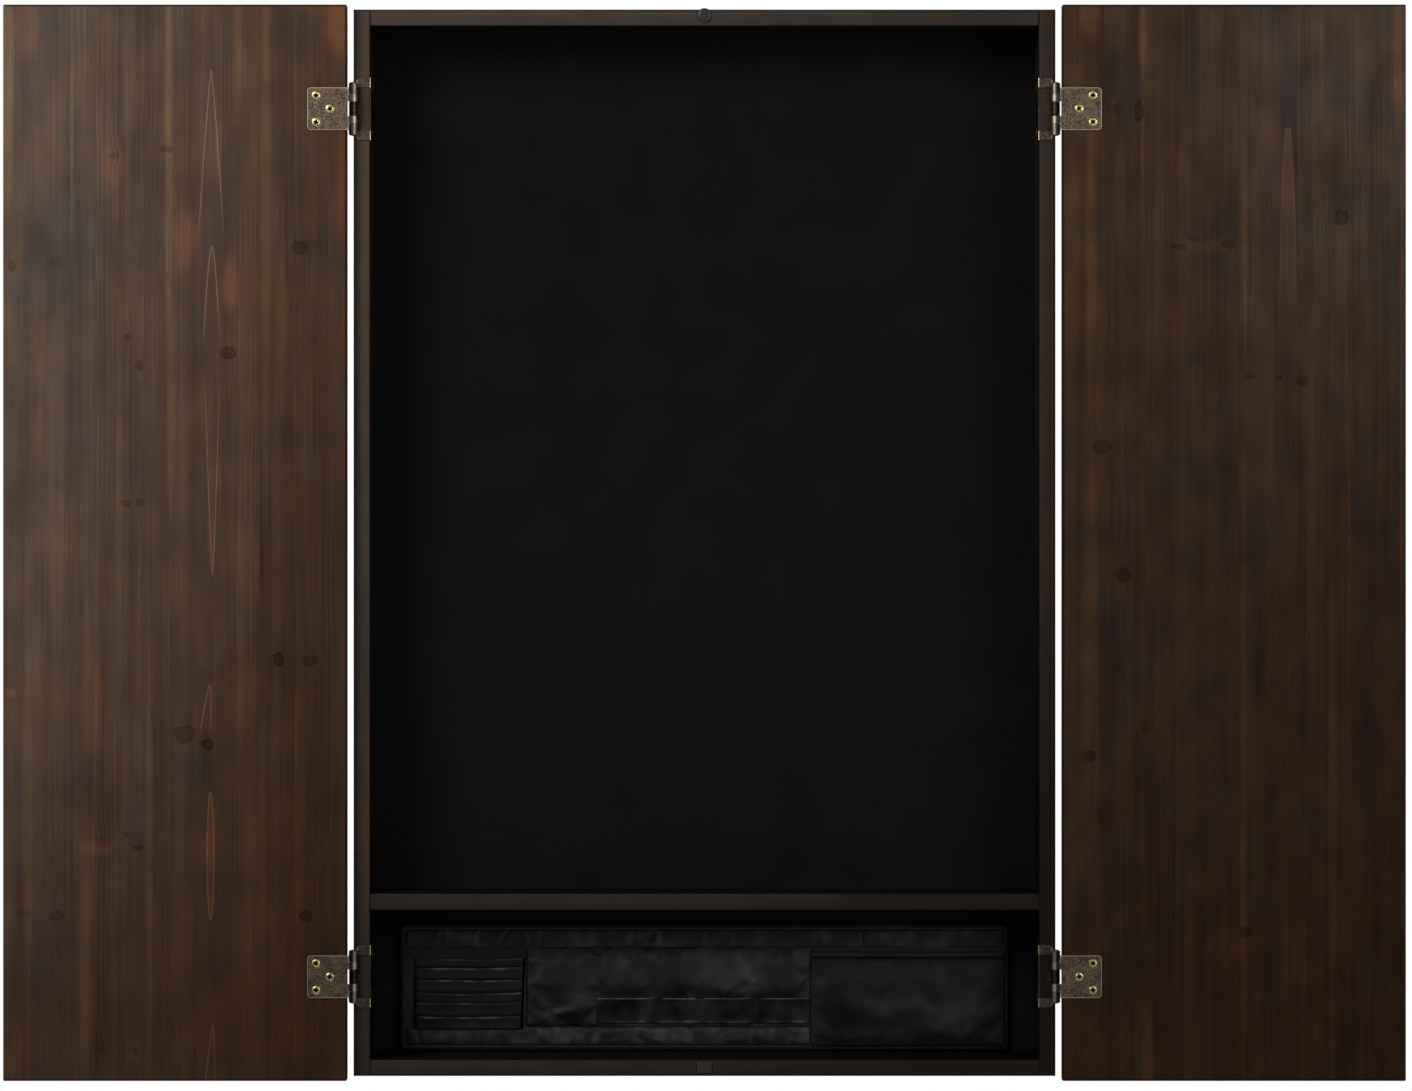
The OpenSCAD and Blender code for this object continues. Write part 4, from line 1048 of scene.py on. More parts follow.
def bumperMaterial(name, dark, light, gloss):
    # a soft grey pad, with painted shade where it turns away from view
    material, net, shader, place = newMaterial(name)
    fine = net.noise(place, 900, 2)
    turned = net.add("ShaderNodeLayerWeight", {"Blend": 0.5}).outputs["Facing"]
    body = net.blend(net.between(fine, 0.3, 0.7), dark, light)
    colour = net.blend(net.between(turned, 0.5, 0.95, 0.0, 0.85), body, tone(10, 9, 8))
    coat(net, shader, colour, net.between(fine, 0.3, 0.7, 0.24, 0.36), gloss, net.bump(fine, 0.01 * mm))
    return material


bumpers = dict(crown=0.94, lip=0.42, padSoft=6, padSquare=7, padLip=0.35)


def domedBumper(low, high):
    # a round button: a dome with a short lip
    radius, rise = (high.x - low.x) / 2, high.y - low.y
    crown, lip = bumpers["crown"], bumpers["lip"]
    profile = [(radius * crown * math.sin(a), rise * (lip + 0.58 * math.cos(a)))
               for a in np.linspace(0, math.pi / 2, 12)]
    profile += [(radius * 0.985, rise * 0.3), (radius, rise * 0.18), (radius, 0.0)]
    points, faces = latheSurface(profile, 48)
    return facingFront(points, low, high), faces


def squarePad(low, high):
    # a round pad drawn out to a soft square
    width, height, depth = high.x - low.x, high.z - low.z, high.y - low.y
    square, lip = bumpers["padSquare"], bumpers["padLip"]
    profile = [(share, 1 - share ** bumpers["padSoft"]) for share in np.linspace(0, 1, 12)]
    points, faces = latheSurface(profile, 64)
    squared = []
    for x, y, h in points:
        reach = math.hypot(x, y)
        bend = (abs(x / reach) ** square + abs(y / reach) ** square) ** (-1 / square) if reach > 0 else 1
        rise = (lip + (1 - lip) * h) * depth if reach < 0.999 else 0.0
        squared.append((x * bend * width / 2, y * bend * height / 2, rise))
    return facingFront(squared, low, high), faces


def buildBumpers():
    domed = bumperMaterial("greyBumper", tone(40, 36, 34), tone(50, 46, 43), 0.14)
    flat = bumperMaterial("clearPad", tone(38, 34, 31), tone(46, 42, 38), 0.12)
    for node, name, shape, material in (("top_bumper", "topBumper", domedBumper, domed),
                                        ("bottom_bumper", "bottomBumper", squarePad, flat)):
        piece = meshObject(name, *shape(*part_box(node)), material)
        fixNormals(piece)
        finishPiece(piece, "cabinet", "bumper", node)


buildBumpers()
print("bumpers done")


# organizer: black nylon

def makeWeaveGroup():
    # plain weave across x and z: threads over and under by turns
    names = {"Place": (0.0, 0.0, 0.0), "Pitch": 0.0006}
    net, use, give = shaderGroup("nylonWeave", names, ("Height", "Shade"))
    x, y, z = net.split(use["Place"])
    step = net.over(2 * math.pi, use["Pitch"])
    crossed = net.times(net.sine(net.times(x, step)), net.sine(net.times(z, step)))
    cloudy = net.noise(net.vector("MULTIPLY", use["Place"], (240, 240, 240)), 1.0, 3)
    net.feed(give["Height"], net.line(crossed, 0.5, 0.5))
    net.feed(give["Shade"], net.between(cloudy, 0.3, 0.7))
    return net.tree


weaveGroup = makeWeaveGroup()


def nylonMaterial(name, dark, light, rough=(0.46, 0.56), weaveDepth=0.05, creaseDepth=0.0, gloss=0.24):
    material, net, shader, place = newMaterial(name)
    weave = net.group(weaveGroup, Place=place, Pitch=0.62 * mm)
    soft = net.noise(place, 60, 3, 0.55)
    cloth = net.blend(net.line(weave["Shade"], 0.5, net.times(weave["Height"], 0.5)), dark, light)
    paintedLight = net.named("paintedLight")  # above 0 a painted highlight on the folds, below 0 painted shade
    wearAndSheen, hidden = net.between(paintedLight, 0.0, 1.0), net.between(paintedLight, -1.0, 0.0, 1.0, 0.0)
    # a pale painted highlight
    cloth = net.blend(wearAndSheen, cloth, tone(98, 98, 98))
    fine = net.bump(weave["Height"], weaveDepth * mm, 0.6)
    if creaseDepth:
        crumple = net.noise(net.vector("MULTIPLY", place, (1.0, 1.0, 0.8)), 95, 4, 0.6)
        fine = net.bump(crumple, creaseDepth * mm, Normal=fine)
    uneven = net.between(net.plus(soft, weave["Shade"]), 0.5, 1.4, *rough)
    # painted shade takes away the colour and the gloss
    shine = net.times(net.minus(1.0, hidden), gloss)
    coat(net, shader, net.blend(hidden, cloth, tone(1, 1, 1)), uneven, shine, fine)
    return material


nylon = nylonMaterial("blackNylon", tone(5, 5, 6), tone(11, 11, 12), creaseDepth=0.5)
ribbon = nylonMaterial("blackRibbon", tone(2, 2, 2), tone(5, 5, 6), creaseDepth=0.3, gloss=0.12)
tapeFabric = nylonMaterial("hookAndLoop", tone(8, 8, 8), tone(16, 16, 16), rough=(0.8, 0.9), weaveDepth=0.25)
thread = nylonMaterial("blackThread", tone(7, 7, 7), tone(17, 17, 17), gloss=0.35)


def gridFaces(columns, rows):
    corners = [(i * rows + j, (i + 1) * rows + j) for i in range(columns - 1) for j in range(rows - 1)]
    return [(here, beside, beside + 1, here + 1) for here, beside in corners]


def spanOf(node, left=0.0, right=0.0, bottom=0.0, top=0.0):
    # the sides of a CAD node in mm, each moved by a little
    low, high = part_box(node)
    sides = dict(left=low.x / mm + left, right=high.x / mm + right,
                 bottom=low.z / mm + bottom, top=high.z / mm + top)
    return {side: round(at, 1) for side, at in sides.items()}


def flatGrid(span, step):
    # a grid of places in mm over x and z, y still 0, with the share of each side
    left, right, bottom, top = (span[side] for side in ("left", "right", "bottom", "top"))
    columns, rows = int(round((right - left) / step)) + 1, int(round((top - bottom) / step)) + 1
    u, v = np.meshgrid(np.linspace(0, 1, columns), np.linspace(0, 1, rows), indexing="ij")
    places = np.zeros((columns, rows, 3))
    places[..., 0] = left + u * (right - left)
    places[..., 2] = bottom + v * (top - bottom)
    return places, u, v


def flatOf(span, fullness=1):
    # the width and height of a sheet before it is sewn
    width, height = span["right"] - span["left"], span["top"] - span["bottom"]
    return round(width, 1) * fullness, round(height, 1) * fullness


def ripple(places, size, seed):
    # smooth noise in -1 to 1 over a grid of mm places
    shift = Vector((seed * 17.3, seed * 5.1, seed * 9.7))
    spots = places.reshape(-1, 3)
    flat = [noise.noise(Vector((p[0] / size, 0.0, p[2] / size)) + shift) for p in spots]
    return np.array(flat).reshape(places.shape[:2]) * 1.6


def spotsOver(places, spots):
    # the sum of soft spots, each (x, fall, half width, half height, strength) in mm, where fall is
    # measured down from the organizer's top edge
    total = 0.0
    for x, fall, w, h, much in spots:
        z = round(organizer["top"] - fall, 1)
        total = total + much * np.exp(-((places[..., 0] - x) / w) ** 2 - ((places[..., 2] - z) / h) ** 2)
    return total


def settleCloth(name, places, held, facts):
    # lets the sheet grow by a few percent and find its folds; ten times as large, where the solver
    # is steady
    columns, rows = places.shape[:2]
    toBig = 0.01  # from mm to the solver's size
    big = meshObject(name + "Settling", places.reshape(-1, 3) * toBig, gridFaces(columns, rows))
    pins = big.vertex_groups.new(name="held")
    for weight in np.unique(held[held > 0]):
        pins.add([int(i) for i in np.flatnonzero(held.ravel() == weight)], float(weight), "REPLACE")
    cloth = big.modifiers.new("cloth", "CLOTH")
    settings = cloth.settings
    settings.quality, settings.mass, settings.air_damping = 7, 0.2, 3.0
    settings.tension_stiffness = settings.compression_stiffness = 14.0
    settings.shear_stiffness, settings.bending_stiffness = 6.0, facts["bend"]
    settings.vertex_group_mass = "held"
    settings.shrink_min = settings.shrink_max = -facts["grow"]
    settings.use_pressure, settings.uniform_pressure_force = True, facts["push"]
    settings.effector_weights.gravity = facts["weight"]
    cloth.collision_settings.use_self_collision = False
    cloth.collision_settings.distance_min = 0.004
    low = places.reshape(-1, 3).min(0) * toBig - 0.3
    high = places.reshape(-1, 3).max(0) * toBig + 0.3
    y = facts["wall"] * toBig
    corners = [(low[0], y, low[2]), (high[0], y, low[2]), (high[0], y, high[2]), (low[0], y, high[2])]
    wall = meshObject(name + "Wall", corners, [(0, 1, 2, 3)])
    wall.modifiers.new("wall", "COLLISION")
    wall.collision.thickness_outer = 0.004
    cloth.point_cache.frame_start, cloth.point_cache.frame_end = 1, facts["frames"]
    for frameNumber in range(1, facts["frames"] + 1):
        scene.frame_set(frameNumber)
    shape = big.evaluated_get(bpy.context.evaluated_depsgraph_get()).to_mesh()
    settled = np.zeros(len(shape.vertices) * 3)
    shape.vertices.foreach_get("co", settled)
    settled = settled.reshape(columns, rows, 3) * 100
    for helper in (big, wall):
        bpy.data.objects.remove(helper, do_unlink=True)
    scene.frame_set(1)
    settled[..., 1] = np.clip(settled[..., 1], facts["front"], facts["wall"])
    return settled


def sheetPiece(name, places, thick, paintedLight, hemRows=0, flare=1.0):
    # gives a settled grid its thickness, more of it along a folded hem at the top
    columns, rows = places.shape[:2]
    piece = meshObject(name, places.reshape(-1, 3) * mm, gridFaces(columns, rows), nylon)
    # the painted light and shade of each place, kept for the material
    values = np.clip(paintedLight, -1, 1).astype(np.float32).ravel()
    piece.data.attributes.new("paintedLight", "FLOAT", "POINT").data.foreach_set("value", values)
    solid = piece.modifiers.new("thickness", "SOLIDIFY")
    solid.thickness, solid.offset = thick * mm, -1.0
    if hemRows:
        hem = piece.vertex_groups.new(name="hem")
        top = [i * rows + j for i in range(columns) for j in range(rows - hemRows, rows)]
        hem.add(top, 1.0, "REPLACE")
        solid.vertex_group, solid.thickness_vertex_group = "hem", 1 / flare
        solid.offset = 0.4
    rounded = piece.modifiers.new("rounded", "SUBSURF")
    rounded.levels = rounded.render_levels = 1
    return applyModifiers(piece)


def declareSheet(piece, flat, held, rests, *nodes):
    finishPiece(piece, "cabinet", "nylon", *nodes)


organizer = dict(spanOf("organizer_backing"), face=round(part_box("organizer_backing")[0].y / mm, 1))
organizer["sewnFace"] = organizer["face"] - 0.5
seamPaths = []  # polylines in mm, each with its kind of stitch


def depthAt(places, x, z):
    # the y of a settled grid nearest to a place
    gap = (places[..., 0] - x) ** 2 + (places[..., 2] - z) ** 2
    return places[..., 1].ravel()[int(gap.argmin())]


def seamOn(places, start, end, lift=0.12, kind="straight", step=3.0):
    # lays a seam over a grid from one (x, z) to another
    (x0, z0), (x1, z1) = start, end
    count = max(2, int(math.hypot(x1 - x0, z1 - z0) / step))
    path = [(x0 + (x1 - x0) * k / count, z0 + (z1 - z0) * k / count) for k in range(count)] + [end]
    seamPaths.append((kind, [(x, depthAt(places, x, z) - lift, z) for x, z in path]))


headerSpan = spanOf("organizer_header", -0.8, 0.8)
smallPockets = dict(spanOf("organizer_small_pockets", -1.1, -2.5, -1.1, -0.1), count=4, bulge=1.9,
                    fullness=1.03, grow=0.012, push=0.1, foot=-20.0, wall=-19.9, front=-25.7, frames=20,
                    bend=1.5, weight=0.02)
middle = dict(left=spanOf("organizer_card_slots")["right"] + 1.5,
              right=round(spanOf("organizer_small_pockets")["right"] - 1.4, 1),
              bottom=round(spanOf("organizer_bottom_band")["top"] + 0.6, 1),
              top=round(headerSpan["bottom"] + 1.2, 1),
              grow=0.035, push=0.3, wall=-19.3, front=-23.6, frames=34, bend=1.2, weight=0.05,
              tacks=((-124.5, 20), (-57.2, 9), (20, 7)),  # sewn down at x, this far up from the foot
              # dark spots are painted shadows under the bulging pocket mouths: (x, fall, half width, half
              # height, strength)
              dark=((-18, 52.6, 13, 7, -0.75), (-60, 54.6, 16, 4.5, -0.5), (62, 57.6, 16, 4, -0.5),
                    (20, 57.6, 18, 3, -0.4), (-108, 73.6, 12, 5, -0.8), (-118, 51.6, 14, 4, -0.45),
                    (-138, 61.6, 5, 14, -0.3)))


def buildBacking():
    places, u, v = flatGrid(organizer, 3.4)
    width, height = flatOf(organizer)
    rim = np.minimum(np.minimum(u, 1 - u) * width, np.minimum(v, 1 - v) * height)
    places[..., 1] = organizer["face"] + 0.35 * ripple(places, 22, 1) * np.clip(rim / 8, 0, 1) - 0.15
    x, under = places[..., 0], headerSpan["bottom"] - places[..., 2]
    strip = (under > -0.7) & (under < 8.8) & (x < middle["left"])  # in the shade of the header
    piece = sheetPiece("organizerBacking", places, 0.9, np.where(strip, -0.3, 0.0))
    declareSheet(piece, (width, height), "stretched", "organizer_loop_tape", "organizer_backing")


def buildMiddleCloth():
    # the loose lining between the card slots and the large pocket
    places, u, v = flatGrid(middle, 2.4)
    loose = 1.1 * (ripple(places, 30, 2) + 1) * np.sin(math.pi * u) * np.sin(math.pi * v)
    places[..., 1] = middle["wall"] - 0.25 - loose
    held = np.zeros(u.shape)
    held[0, :] = held[-1, :] = held[:, 0] = held[:, -1] = 1.0
    low = places[..., 2] < smallPockets["top"] - 3.8
    held[low & (places[..., 0] > smallPockets["left"] - 0.4)] = 1.0  # flat behind the small pockets
    for x, reach in middle["tacks"]:
        column = int(np.abs(places[:, 0, 0] - x).argmin())
        held[column, :int(reach / 2.4)] = 1.0
    settled = settleCloth("middleCloth", places, held, middle)
    # soft painted light and shade, the painted shadows, and painted shade along the left edge
    paintedLight = 0.1 * ripple(settled, 38, 71) + 0.06 * ripple(settled, 11, 72)
    paintedLight += spotsOver(settled, middle["dark"])
    paintedLight = np.where(settled[..., 0] < middle["left"] + 1.5, -0.95, paintedLight)
    piece = sheetPiece("middleCloth", settled, 0.5, paintedLight)
    declareSheet(piece, flatOf(middle, 1 + middle["grow"]), "gathered", "organizer_backing")


def puckeredBand(span, creases, waves, seed, crown):
    # a folded band sewn along both edges; a crease is (x at the foot, x at the head, depth, half width)
    places, u, v = flatGrid(span, 1.5)
    ends = np.clip(np.minimum(u, 1 - u) * (span["right"] - span["left"]) / 2.5, 0, 1)
    body = np.power(np.clip(1 - np.power(np.abs(2 * v - 1), 3.2), 0, 1), 0.6) * np.power(ends, 0.5)
    uneven = 1 + 0.35 * ripple(places, waves, seed) + 0.18 * ripple(places, waves * 0.4, seed + 1)
    height = crown * body * uneven
    for foot, head, depth, half in creases:
        line = foot + (head - foot) * v
        away = np.abs(places[..., 0] - line) / half
        height -= depth * body * (np.exp(-away ** 2) - 0.45 * np.exp(-((away - 2.1) / 1.1) ** 2))
    places[..., 1] = organizer["sewnFace"] + 0.1 - np.maximum(height, -0.25)
    return places


bands = dict(
    header=headerSpan, headerCrown=0.9, headerFlat=(486, 15.6), headerSeam=127.7,
    headerCreases=[(-214.5, -213, 0.55, 1.6), (-183.7, -182, 0.7, 2.0), (-168, -158, 0.75, 1.8),
                   (-141.5, -142, 0.6, 1.8), (-133.4, -132, 0.6, 1.6), (-60, -57, 0.8, 2.6),
                   (-47, -41, 0.7, 2.2), (-34.5, -36, 0.6, 2.0), (2.8, 2, 0.6, 2.2), (46, 52, 0.4, 3.0),
                   (92, 90, 0.4, 2.4), (127.7, 127.7, 0.8, 1.0), (168, 172, 0.35, 3.0), (205, 203, 0.4, 2.4)],
    foot=spanOf("organizer_bottom_band", 0, -1.9, -0.5, 0.1), footCrown=1.1, footFlat=(328.2, 15.2),
    footSeams=(-226.7, -151.3, -124.5, -95.3, -57.2, -44.2), dimplePitch=15.8)


def buildBands():
    span = bands["header"]
    header = puckeredBand(span, bands["headerCreases"], 15, 3, bands["headerCrown"])
    # soft painted light and shade over the puckers
    piece = sheetPiece("headerBand", header, 0.7, 0.14 * ripple(header, 9, 73) + 0.1 * ripple(header, 24, 74))
    declareSheet(piece, bands["headerFlat"], "stretched", "organizer_backing", "organizer_header")
    for z in (span["top"] - 1.5, span["bottom"] + 1.4):
        seamOn(header, (span["left"] + 1, z), (span["right"] - 1, z))
    seamOn(header, (bands["headerSeam"], span["top"] - 1.3), (bands["headerSeam"], span["bottom"] + 1.2))
    span = bands["foot"]
    starts = np.arange(-232, 84, bands["dimplePitch"])
    dimples = [(x + 1.5 * math.sin(x), x - 1.2 * math.cos(2 * x), 0.55, 1.7) for x in starts]
    band = puckeredBand(span, dimples, 11, 6, bands["footCrown"])
    # soft painted light and shade over the puckers
    piece = sheetPiece("bottomBand", band, 0.7, 0.14 * ripple(band, 8, 75) + 0.1 * ripple(band, 22, 76))
    declareSheet(piece, bands["footFlat"], "stretched", "organizer_backing", "organizer_bottom_band")
    for z in (span["top"] - 1.6, span["bottom"] + 1.4):
        seamOn(band, (span["left"] + 1.2, z), (span["right"] - 1, z))
    for x in bands["footSeams"]:
        seamOn(band, (x, span["top"] - 1.4), (x, span["bottom"] + 1.2))


# falls are how far each flap's fold lies below the organizer's top edge; dull is how far from the left
# each fold goes without its painted highlight
cards = dict(falls=(26.9, 34.5, 44.6, 54.7, 63.1, 74.2), footFall=84.8, right=-145.6, left=-235.6,
             step=0.42, mouth=1.7, sag=1.5, tuck=3.4, thick=0.5, hem=1.9, dull=(14, 7, 0, 14, 0, 0))


def cardFlap(i, folds, foot):
    # one flap's places, and the painted light and shade on its folds
    fold, last = folds[i], i == len(folds) - 1
    left, right = round(cards["left"] - 0.1 * i, 1), cards["right"] - 0.35 * i
    places, u, v = flatGrid(dict(left=left, right=right, bottom=foot, top=fold), 1.3)
    bow = np.power(np.sin(math.pi * u), 0.7)
    sag = cards["sag"] * (0.75 + 0.4 * math.sin(2.3 * i + 1)) * bow + 0.5 * ripple(places, 34, 10 + i) * bow
    places[..., 2] -= sag * v ** 2
    ends = np.clip(np.minimum(u, 1 - u) * 92 / 4, 0, 1) ** 0.5
    lean = cards["mouth"] * (v ** 1.5) * (0.8 + 0.5 * ripple(places, 26, 20 + i))
    waviness = 0.22 * ripple(places, 13, 30 + i) + 0.12 * ripple(places, 5, 40 + i)
    behind = organizer["sewnFace"] - cards["step"] * (i + 1) * (0.35 + 0.65 * ends)
    places[..., 1] = behind - ends * np.maximum(lean + waviness + 0.2, 0)
    fromTop = fold - sag * v ** 2 - places[..., 2]
    shown = np.clip((places[..., 0] - left - cards["dull"][i]) / 9, 0.15, 1)
    # a painted highlight along each fold
    wearAndSheen = np.where(fromTop < 1.6, 0.28 + 0.26 * ripple(places, 12, 70 + i), 0.0)
    paintedLight = -0.2 + wearAndSheen * ends * shown
    if not last:  # painted shade in the mouth of the next flap down
        below = places[..., 2] + sag * (v ** 2) - (folds[i + 1] - 0.8 * bow)
        paintedLight = np.where((below > -3.5) & (below < 2.2), -0.65, paintedLight)
    # painted shade along the right edge
    return places, np.where(places[..., 0] > right - 1.5, -1.0, paintedLight)


def buildCardSlots():
    # six flaps, each folded over at its top and tucked behind the next
    folds = [round(organizer["top"] - fall, 1) for fall in cards["falls"]]
    feet = [fold - cards["tuck"] for fold in folds[1:]] + [round(organizer["top"] - cards["footFall"], 1)]
    for i, (fold, foot) in enumerate(zip(folds, feet)):
        places, paintedLight = cardFlap(i, folds, foot)
        name = "cardFlap" + str(i + 1)
        piece = sheetPiece(name, places, cards["thick"], paintedLight, hemRows=3, flare=cards["hem"])
        flat = (places[-1, 0, 0] - places[0, 0, 0], abs(fold - foot) + 0.5)
        nodes = ("organizer_card_slots",) if i == 0 else ()
        declareSheet(piece, flat, "stretched", "organizer_backing", *nodes)
        for end, inset in ((0, 1.2), (-1, -1.2)):
            side = places[end, ::2]
            seamPaths.append(("straight", [(places[end, 0, 0] + inset, y - 0.3, z) for x, y, z in side]))


def buildSmallPockets():
    facts = smallPockets
    left, right, bottom, top = (facts[side] for side in ("left", "right", "bottom", "top"))
    places, u, v = flatGrid(facts, 1.35)
    cell = (u * facts["count"]) % 1.0
    cell[-1, :] = 0.0
    body = np.power(np.sin(math.pi * cell), 0.8) * (1 - (1 - v) ** 3)
    bulge = facts["bulge"] * body * (0.75 + 0.25 * v)
    places[..., 1] = facts["foot"] - bulge - 0.3 * np.abs(ripple(places, 9, 50)) * body
    held = np.zeros(u.shape)
    held[:, 0] = held[:, -1] = 1.0  # the hem keeps its curve
    for k in range(facts["count"] + 1):
        column = int(round(k / facts["count"] * (u.shape[0] - 1)))
        held[column, :] = 1.0
        places[column, :, 1] = facts["foot"]
    settled = settleCloth("smallPockets", places, held, facts)
    settled[..., 2] -= 0.25 * np.sin(math.pi * cell) * v ** 3
    # painted shade inside each pocket, and painted highlights along the bottom seam and the mouth
    paintedLight = -0.3 + 0.35 * ripple(settled, 11, 77) - 0.3 * np.sin(math.pi * cell) * v
    paintedLight += 0.5 * np.exp(-((cell - 0.5) / 0.44) ** 8) * np.exp(-((v - 0.06) / 0.09) ** 2)
    paintedLight = np.where(v > 0.95, 0.5 + 0.25 * ripple(settled, 9, 78), paintedLight)
    piece = sheetPiece("smallPockets", settled, 0.55, paintedLight, hemRows=2, flare=1.9)
    width, height = flatOf(facts)
    flat = (width * facts["fullness"], height + 0.5)
    declareSheet(piece, flat, "gathered", "organizer_backing", "organizer_small_pockets")
    for k in range(facts["count"] + 1):
        x = left + k / facts["count"] * (right - left)
        heights = enumerate(np.linspace(bottom + 0.5, top - 0.3, 9))
        path = [(x + 0.25 * (-1) ** j, depthAt(settled, x, z) - 0.55, z) for j, z in heights]
        seamPaths.append(("straight", path))
    seamOn(settled, (left, bottom + 0.9), (right, bottom + 0.9), lift=0.3)


largePocket = dict(spanOf("organizer_large_pocket", -2.0, 1.2, -1.3, -0.5), bulge=1.5, grow=0.005, push=0.02,
                   wall=-20.2, front=-26.7, frames=30, bend=1.6, weight=0.02,
                   # spots of painted light and shade, each (x, fall, half width, half height, strength)
                   paintedLightSpots=((108, 68.6, 16, 16, -0.4), (122, 81.6, 22, 8, -0.3), (160, 56.6, 26, 7, -0.3),
                          (150, 39.6, 26, 7, 0.15), (205, 71.6, 20, 14, 0.12), (186, 89.6, 34, 5, -0.25)))


def buildLargePocket():
    facts = largePocket
    left, right, bottom, top = (facts[side] for side in ("left", "right", "bottom", "top"))
    places, u, v = flatGrid(facts, 2.4)
    sides = np.clip(np.minimum(u, 1 - u) * 157 / 16, 0, 1)
    body = np.sin(sides * math.pi / 2) * np.sin(np.clip(v * 77 / 22, 0, 1) * math.pi / 2)
    slant = places.copy()  # folds run from the top left to the foot
    slant[..., 0] = (places[..., 0] + places[..., 2] * 0.8) * 0.5
    slant[..., 2] = places[..., 2] - places[..., 0] * 0.3
    bulge = facts["bulge"] * body * (1 - 0.35 * v)
    folds = 0.9 * (ripple(slant, 20, 61) + 0.4) * body * (1 - v ** 3)
    places[..., 1] = facts["wall"] - 0.2 - bulge - folds
    held = np.zeros(u.shape)
    held[0, :] = held[-1, :] = held[:, 0] = 1.0
    held[:, -3:] = 1.0  # sewn on three sides, with a stiff hem
    settled = settleCloth("largePocket", places, held, facts)
    settled[..., 2] -= 0.3 * np.sin(math.pi * u) * v ** 6
    # soft painted light and shade over the folds, painted shade under the hem and a painted highlight along
    # it
    paintedLight = 0.12 * ripple(slant, 20, 79) + 0.08 * ripple(slant, 8, 80) - 0.2
    paintedLight += spotsOver(settled, facts["paintedLightSpots"])
    paintedLight -= 0.8 * np.exp(-((v - 0.93) * 77 / 1.3) ** 2)
    paintedLight += 0.3 * np.exp(-((v - 0.965) * 77 / 0.9) ** 2)
    piece = sheetPiece("largePocket", settled, 0.6, paintedLight, hemRows=3, flare=1.6)
    flat = flatOf(facts, 1 + facts["grow"])
    declareSheet(piece, flat, "gathered", "organizer_backing", "organizer_large_pocket")
    for fall, lift in ((6.5, 0.4), (2.0, 0.7)):
        seamOn(settled, (left + 3, top - fall), (right - 1, top - fall), lift=lift)
    seamOn(settled, (left + 1.6, bottom + 1), (left + 1.6, top - 1), lift=0.35, kind="zigzag", step=1.6)
    seamOn(settled, (right - 1.6, bottom + 1), (right - 1.6, top - 1), lift=0.3)


binding = dict(width=3.4, thick=1.7, radius=2.5, lap=0.3, middleY=-18.35, seamY=-19.55, ringSize=16)


def bindingPath():
    # a closed path round the backing with rounded corners: x, z and the way out, in mm and radians
    inset, corner = binding["width"] / 2 - binding["lap"], binding["radius"]
    left, right = organizer["left"] + inset + corner, organizer["right"] - inset - corner
    bottom, top = organizer["bottom"] + inset + corner, organizer["top"] - inset - corner
    corners, path = ((right, bottom, -90), (right, top, 0), (left, top, 90), (left, bottom, 180)), []
    for k, (x, z, start) in enumerate(corners):
        bend = [math.radians(a) for a in np.linspace(start, start + 90, 7)]
        path += [(x + corner * math.cos(a), z + corner * math.sin(a), a) for a in bend]
        nextX, nextZ = corners[(k + 1) % 4][:2]
        a = math.radians(start + 90)
        x0, z0 = x + corner * math.cos(a), z + corner * math.sin(a)
        x1, z1 = nextX + corner * math.cos(a), nextZ + corner * math.sin(a)
        count = int(math.hypot(x1 - x0, z1 - z0) / 3)
        path += [(x0 + (x1 - x0) * s / count, z0 + (z1 - z0) * s / count, a) for s in range(1, count)]
    return path


def buildBinding():
    # ribbon folded round the backing's edge, swept as a soft flattened loop
    path, points, ringSize = bindingPath(), [], binding["ringSize"]
    for x, z, a in path:
        swell = 1 + 0.10 * noise.noise(Vector((x / 9, 3.0, z / 9)))
        for t in np.linspace(0, 2 * math.pi, ringSize, endpoint=False):
            c, s = math.cos(t), math.sin(t)
            out = math.copysign(abs(c) ** 0.7, c) * binding["width"] / 2
            up = math.copysign(abs(s) ** 0.8, s) * binding["thick"] / 2 * swell
            place = (x + out * math.cos(a), binding["middleY"] - up, z + out * math.sin(a))
            points.append([part * mm for part in place])
    faces = []
    for i in range(len(path)):
        here, beyond = i * ringSize, (i + 1) % len(path) * ringSize
        faces += [(here + k, beyond + k, beyond + (k + 1) % ringSize, here + (k + 1) % ringSize)
                  for k in range(ringSize)]
    piece = meshObject("bindingRibbon", points, faces, ribbon)
    fixNormals(piece)
    finishPiece(piece, "cabinet", "nylon", "organizer_binding")
    inner = binding["width"] - binding["lap"] - 0.8
    left, right = organizer["left"] + inner, organizer["right"] - inner
    bottom, top = organizer["bottom"] + inner, organizer["top"] - inner
    loop = [(left, bottom), (right, bottom), (right, top), (left, top), (left, bottom)]
    seamPaths.append(("straight", [(x, binding["seamY"], z) for x, z in loop]))


def buildTapes():
    for node, name in (("organizer_hook_tape", "hookTape"), ("organizer_loop_tape", "loopTape")):
        finishPiece(partCopy(node, name, tapeFabric, 0.3, hinges["sharpFrom"]), "cabinet", "tape", node)


buildBacking()
buildMiddleCloth()
buildBands()
buildCardSlots()
buildSmallPockets()
buildLargePocket()
buildBinding()
buildTapes()
print("organizer sewn")


# stitches, as geometry nodes

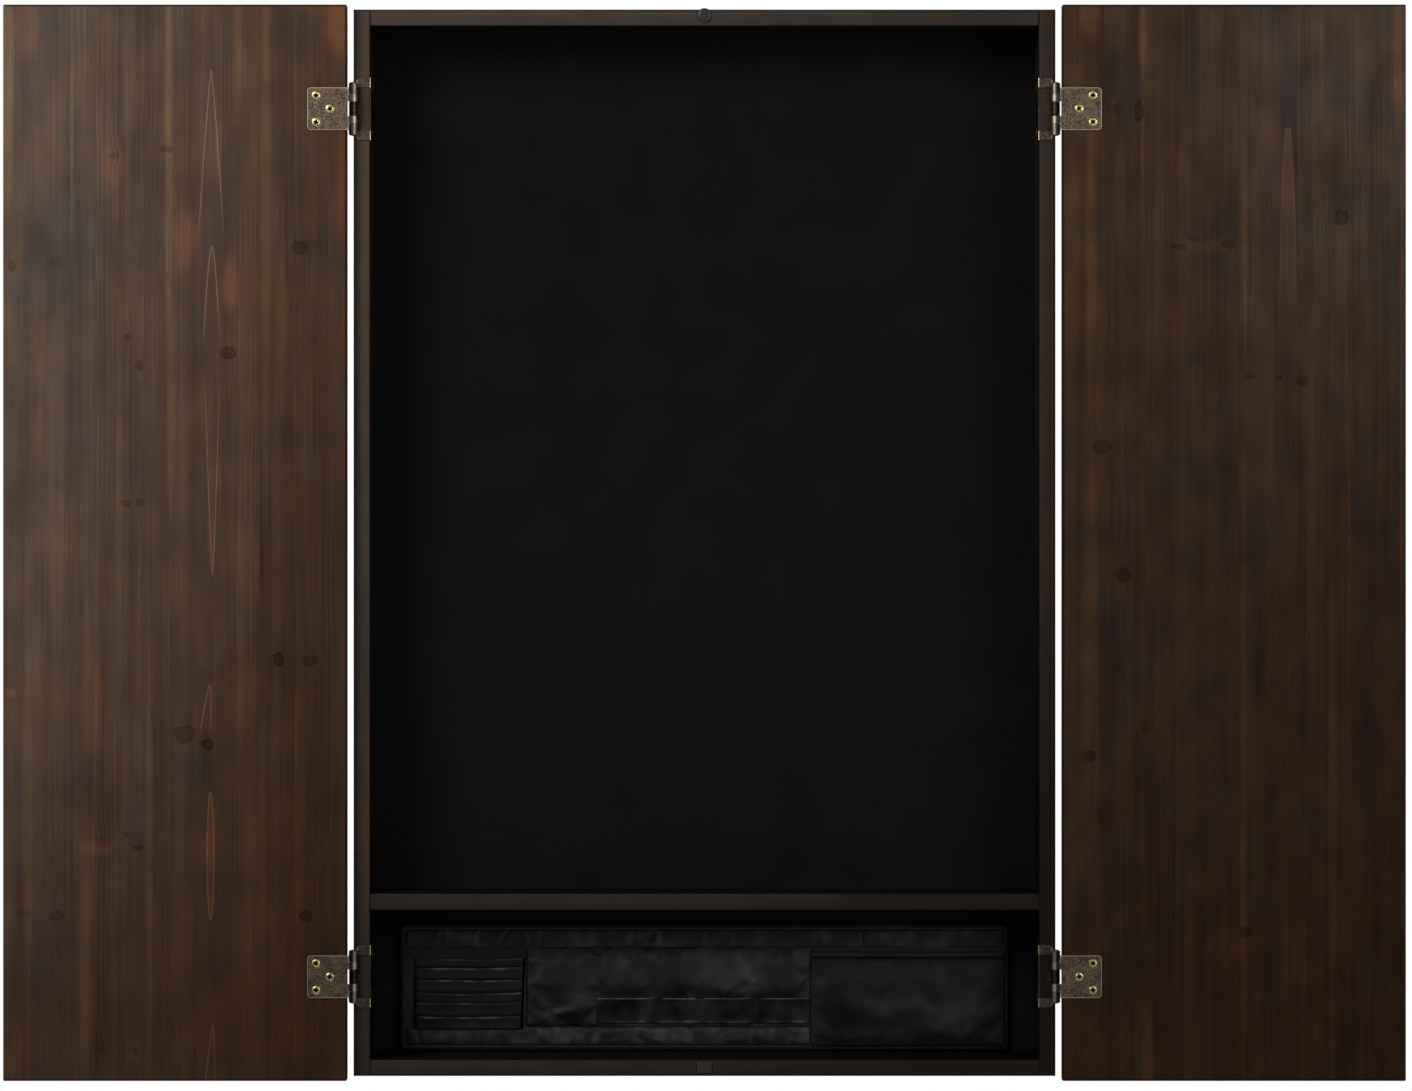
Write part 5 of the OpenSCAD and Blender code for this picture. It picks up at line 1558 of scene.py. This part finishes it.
def makeStitchTree():
    # short stitches of thread along every input edge path; Sway puts them by turns to either side
    names = {"Pitch": 3.2 * mm, "Length": 2.3 * mm, "Thread": 0.24 * mm, "Sway": 0.0, "Seed": 4, "Yarn": None}
    net, use, give = geometryTree("stitchRow", names)
    curve = net.first("GeometryNodeMeshToCurve", {"Mesh": use["Geometry"]})
    spaced = net.first("GeometryNodeResampleCurve", {"Curve": curve, "Length": use["Pitch"]}, mode="LENGTH")
    tangent = net.first("GeometryNodeInputTangent")
    along = net.first("FunctionNodeAlignRotationToVector", {"Vector": tangent}, axis="Z")
    side = net.line(net.math("MODULO", net.first("GeometryNodeInputIndex"), 2.0), 2.0, -1.0)
    across = net.vector("NORMALIZE", net.vector("CROSS_PRODUCT", tangent, (0.0, 1.0, 0.0)))
    sway = net.scaled(across, net.times(side, use["Sway"]))
    moved = net.first("GeometryNodeSetPosition", {"Geometry": spaced, "Offset": sway})
    bead = net.first("GeometryNodeMeshUVSphere", {"Segments": 7, "Rings": 5, "Radius": 0.5})
    thick = net.times(use["Thread"], 2.0)
    size = net.join(thick, thick, use["Length"])
    stitch = net.first("GeometryNodeTransform", {"Geometry": bead, "Scale": size})
    uneven = net.join(1.0, 1.0, net.chance(0.86, 1.08, use["Seed"]))
    sewn = net.first("GeometryNodeInstanceOnPoints", {"Points": moved, "Instance": stitch, "Rotation": along,
                                                      "Scale": uneven})
    return closeTree(net, sewn, use["Yarn"], give)


stitching = dict(pitch=3.2, length=2.3, thread=0.24, sway=0.7, zigzagPitch=2.1)


def buildStitches():
    tree = makeStitchTree()
    kinds = (("straight", "seamStitches", stitching["pitch"], 0.0),
             ("zigzag", "zigzagStitches", stitching["zigzagPitch"], stitching["sway"]))
    for kind, name, pitch, sway in kinds:
        points, edges = [], []
        for found, path in seamPaths:
            if found == kind:
                edges += [(len(points) + k, len(points) + k + 1) for k in range(len(path) - 1)]
                points += [tuple(c * mm for c in p) for p in path]
        piece = meshObject(name, points, [], edges=edges)
        runTree(piece, tree, dict(Pitch=pitch * mm, Length=stitching["length"] * mm, Sway=sway * mm,
                                  Thread=stitching["thread"] * mm, Seed=4, Yarn=thread))
        finishPiece(piece, "cabinet", "nylon")


buildStitches()
print("stitches done:", len(seamPaths), "seams")
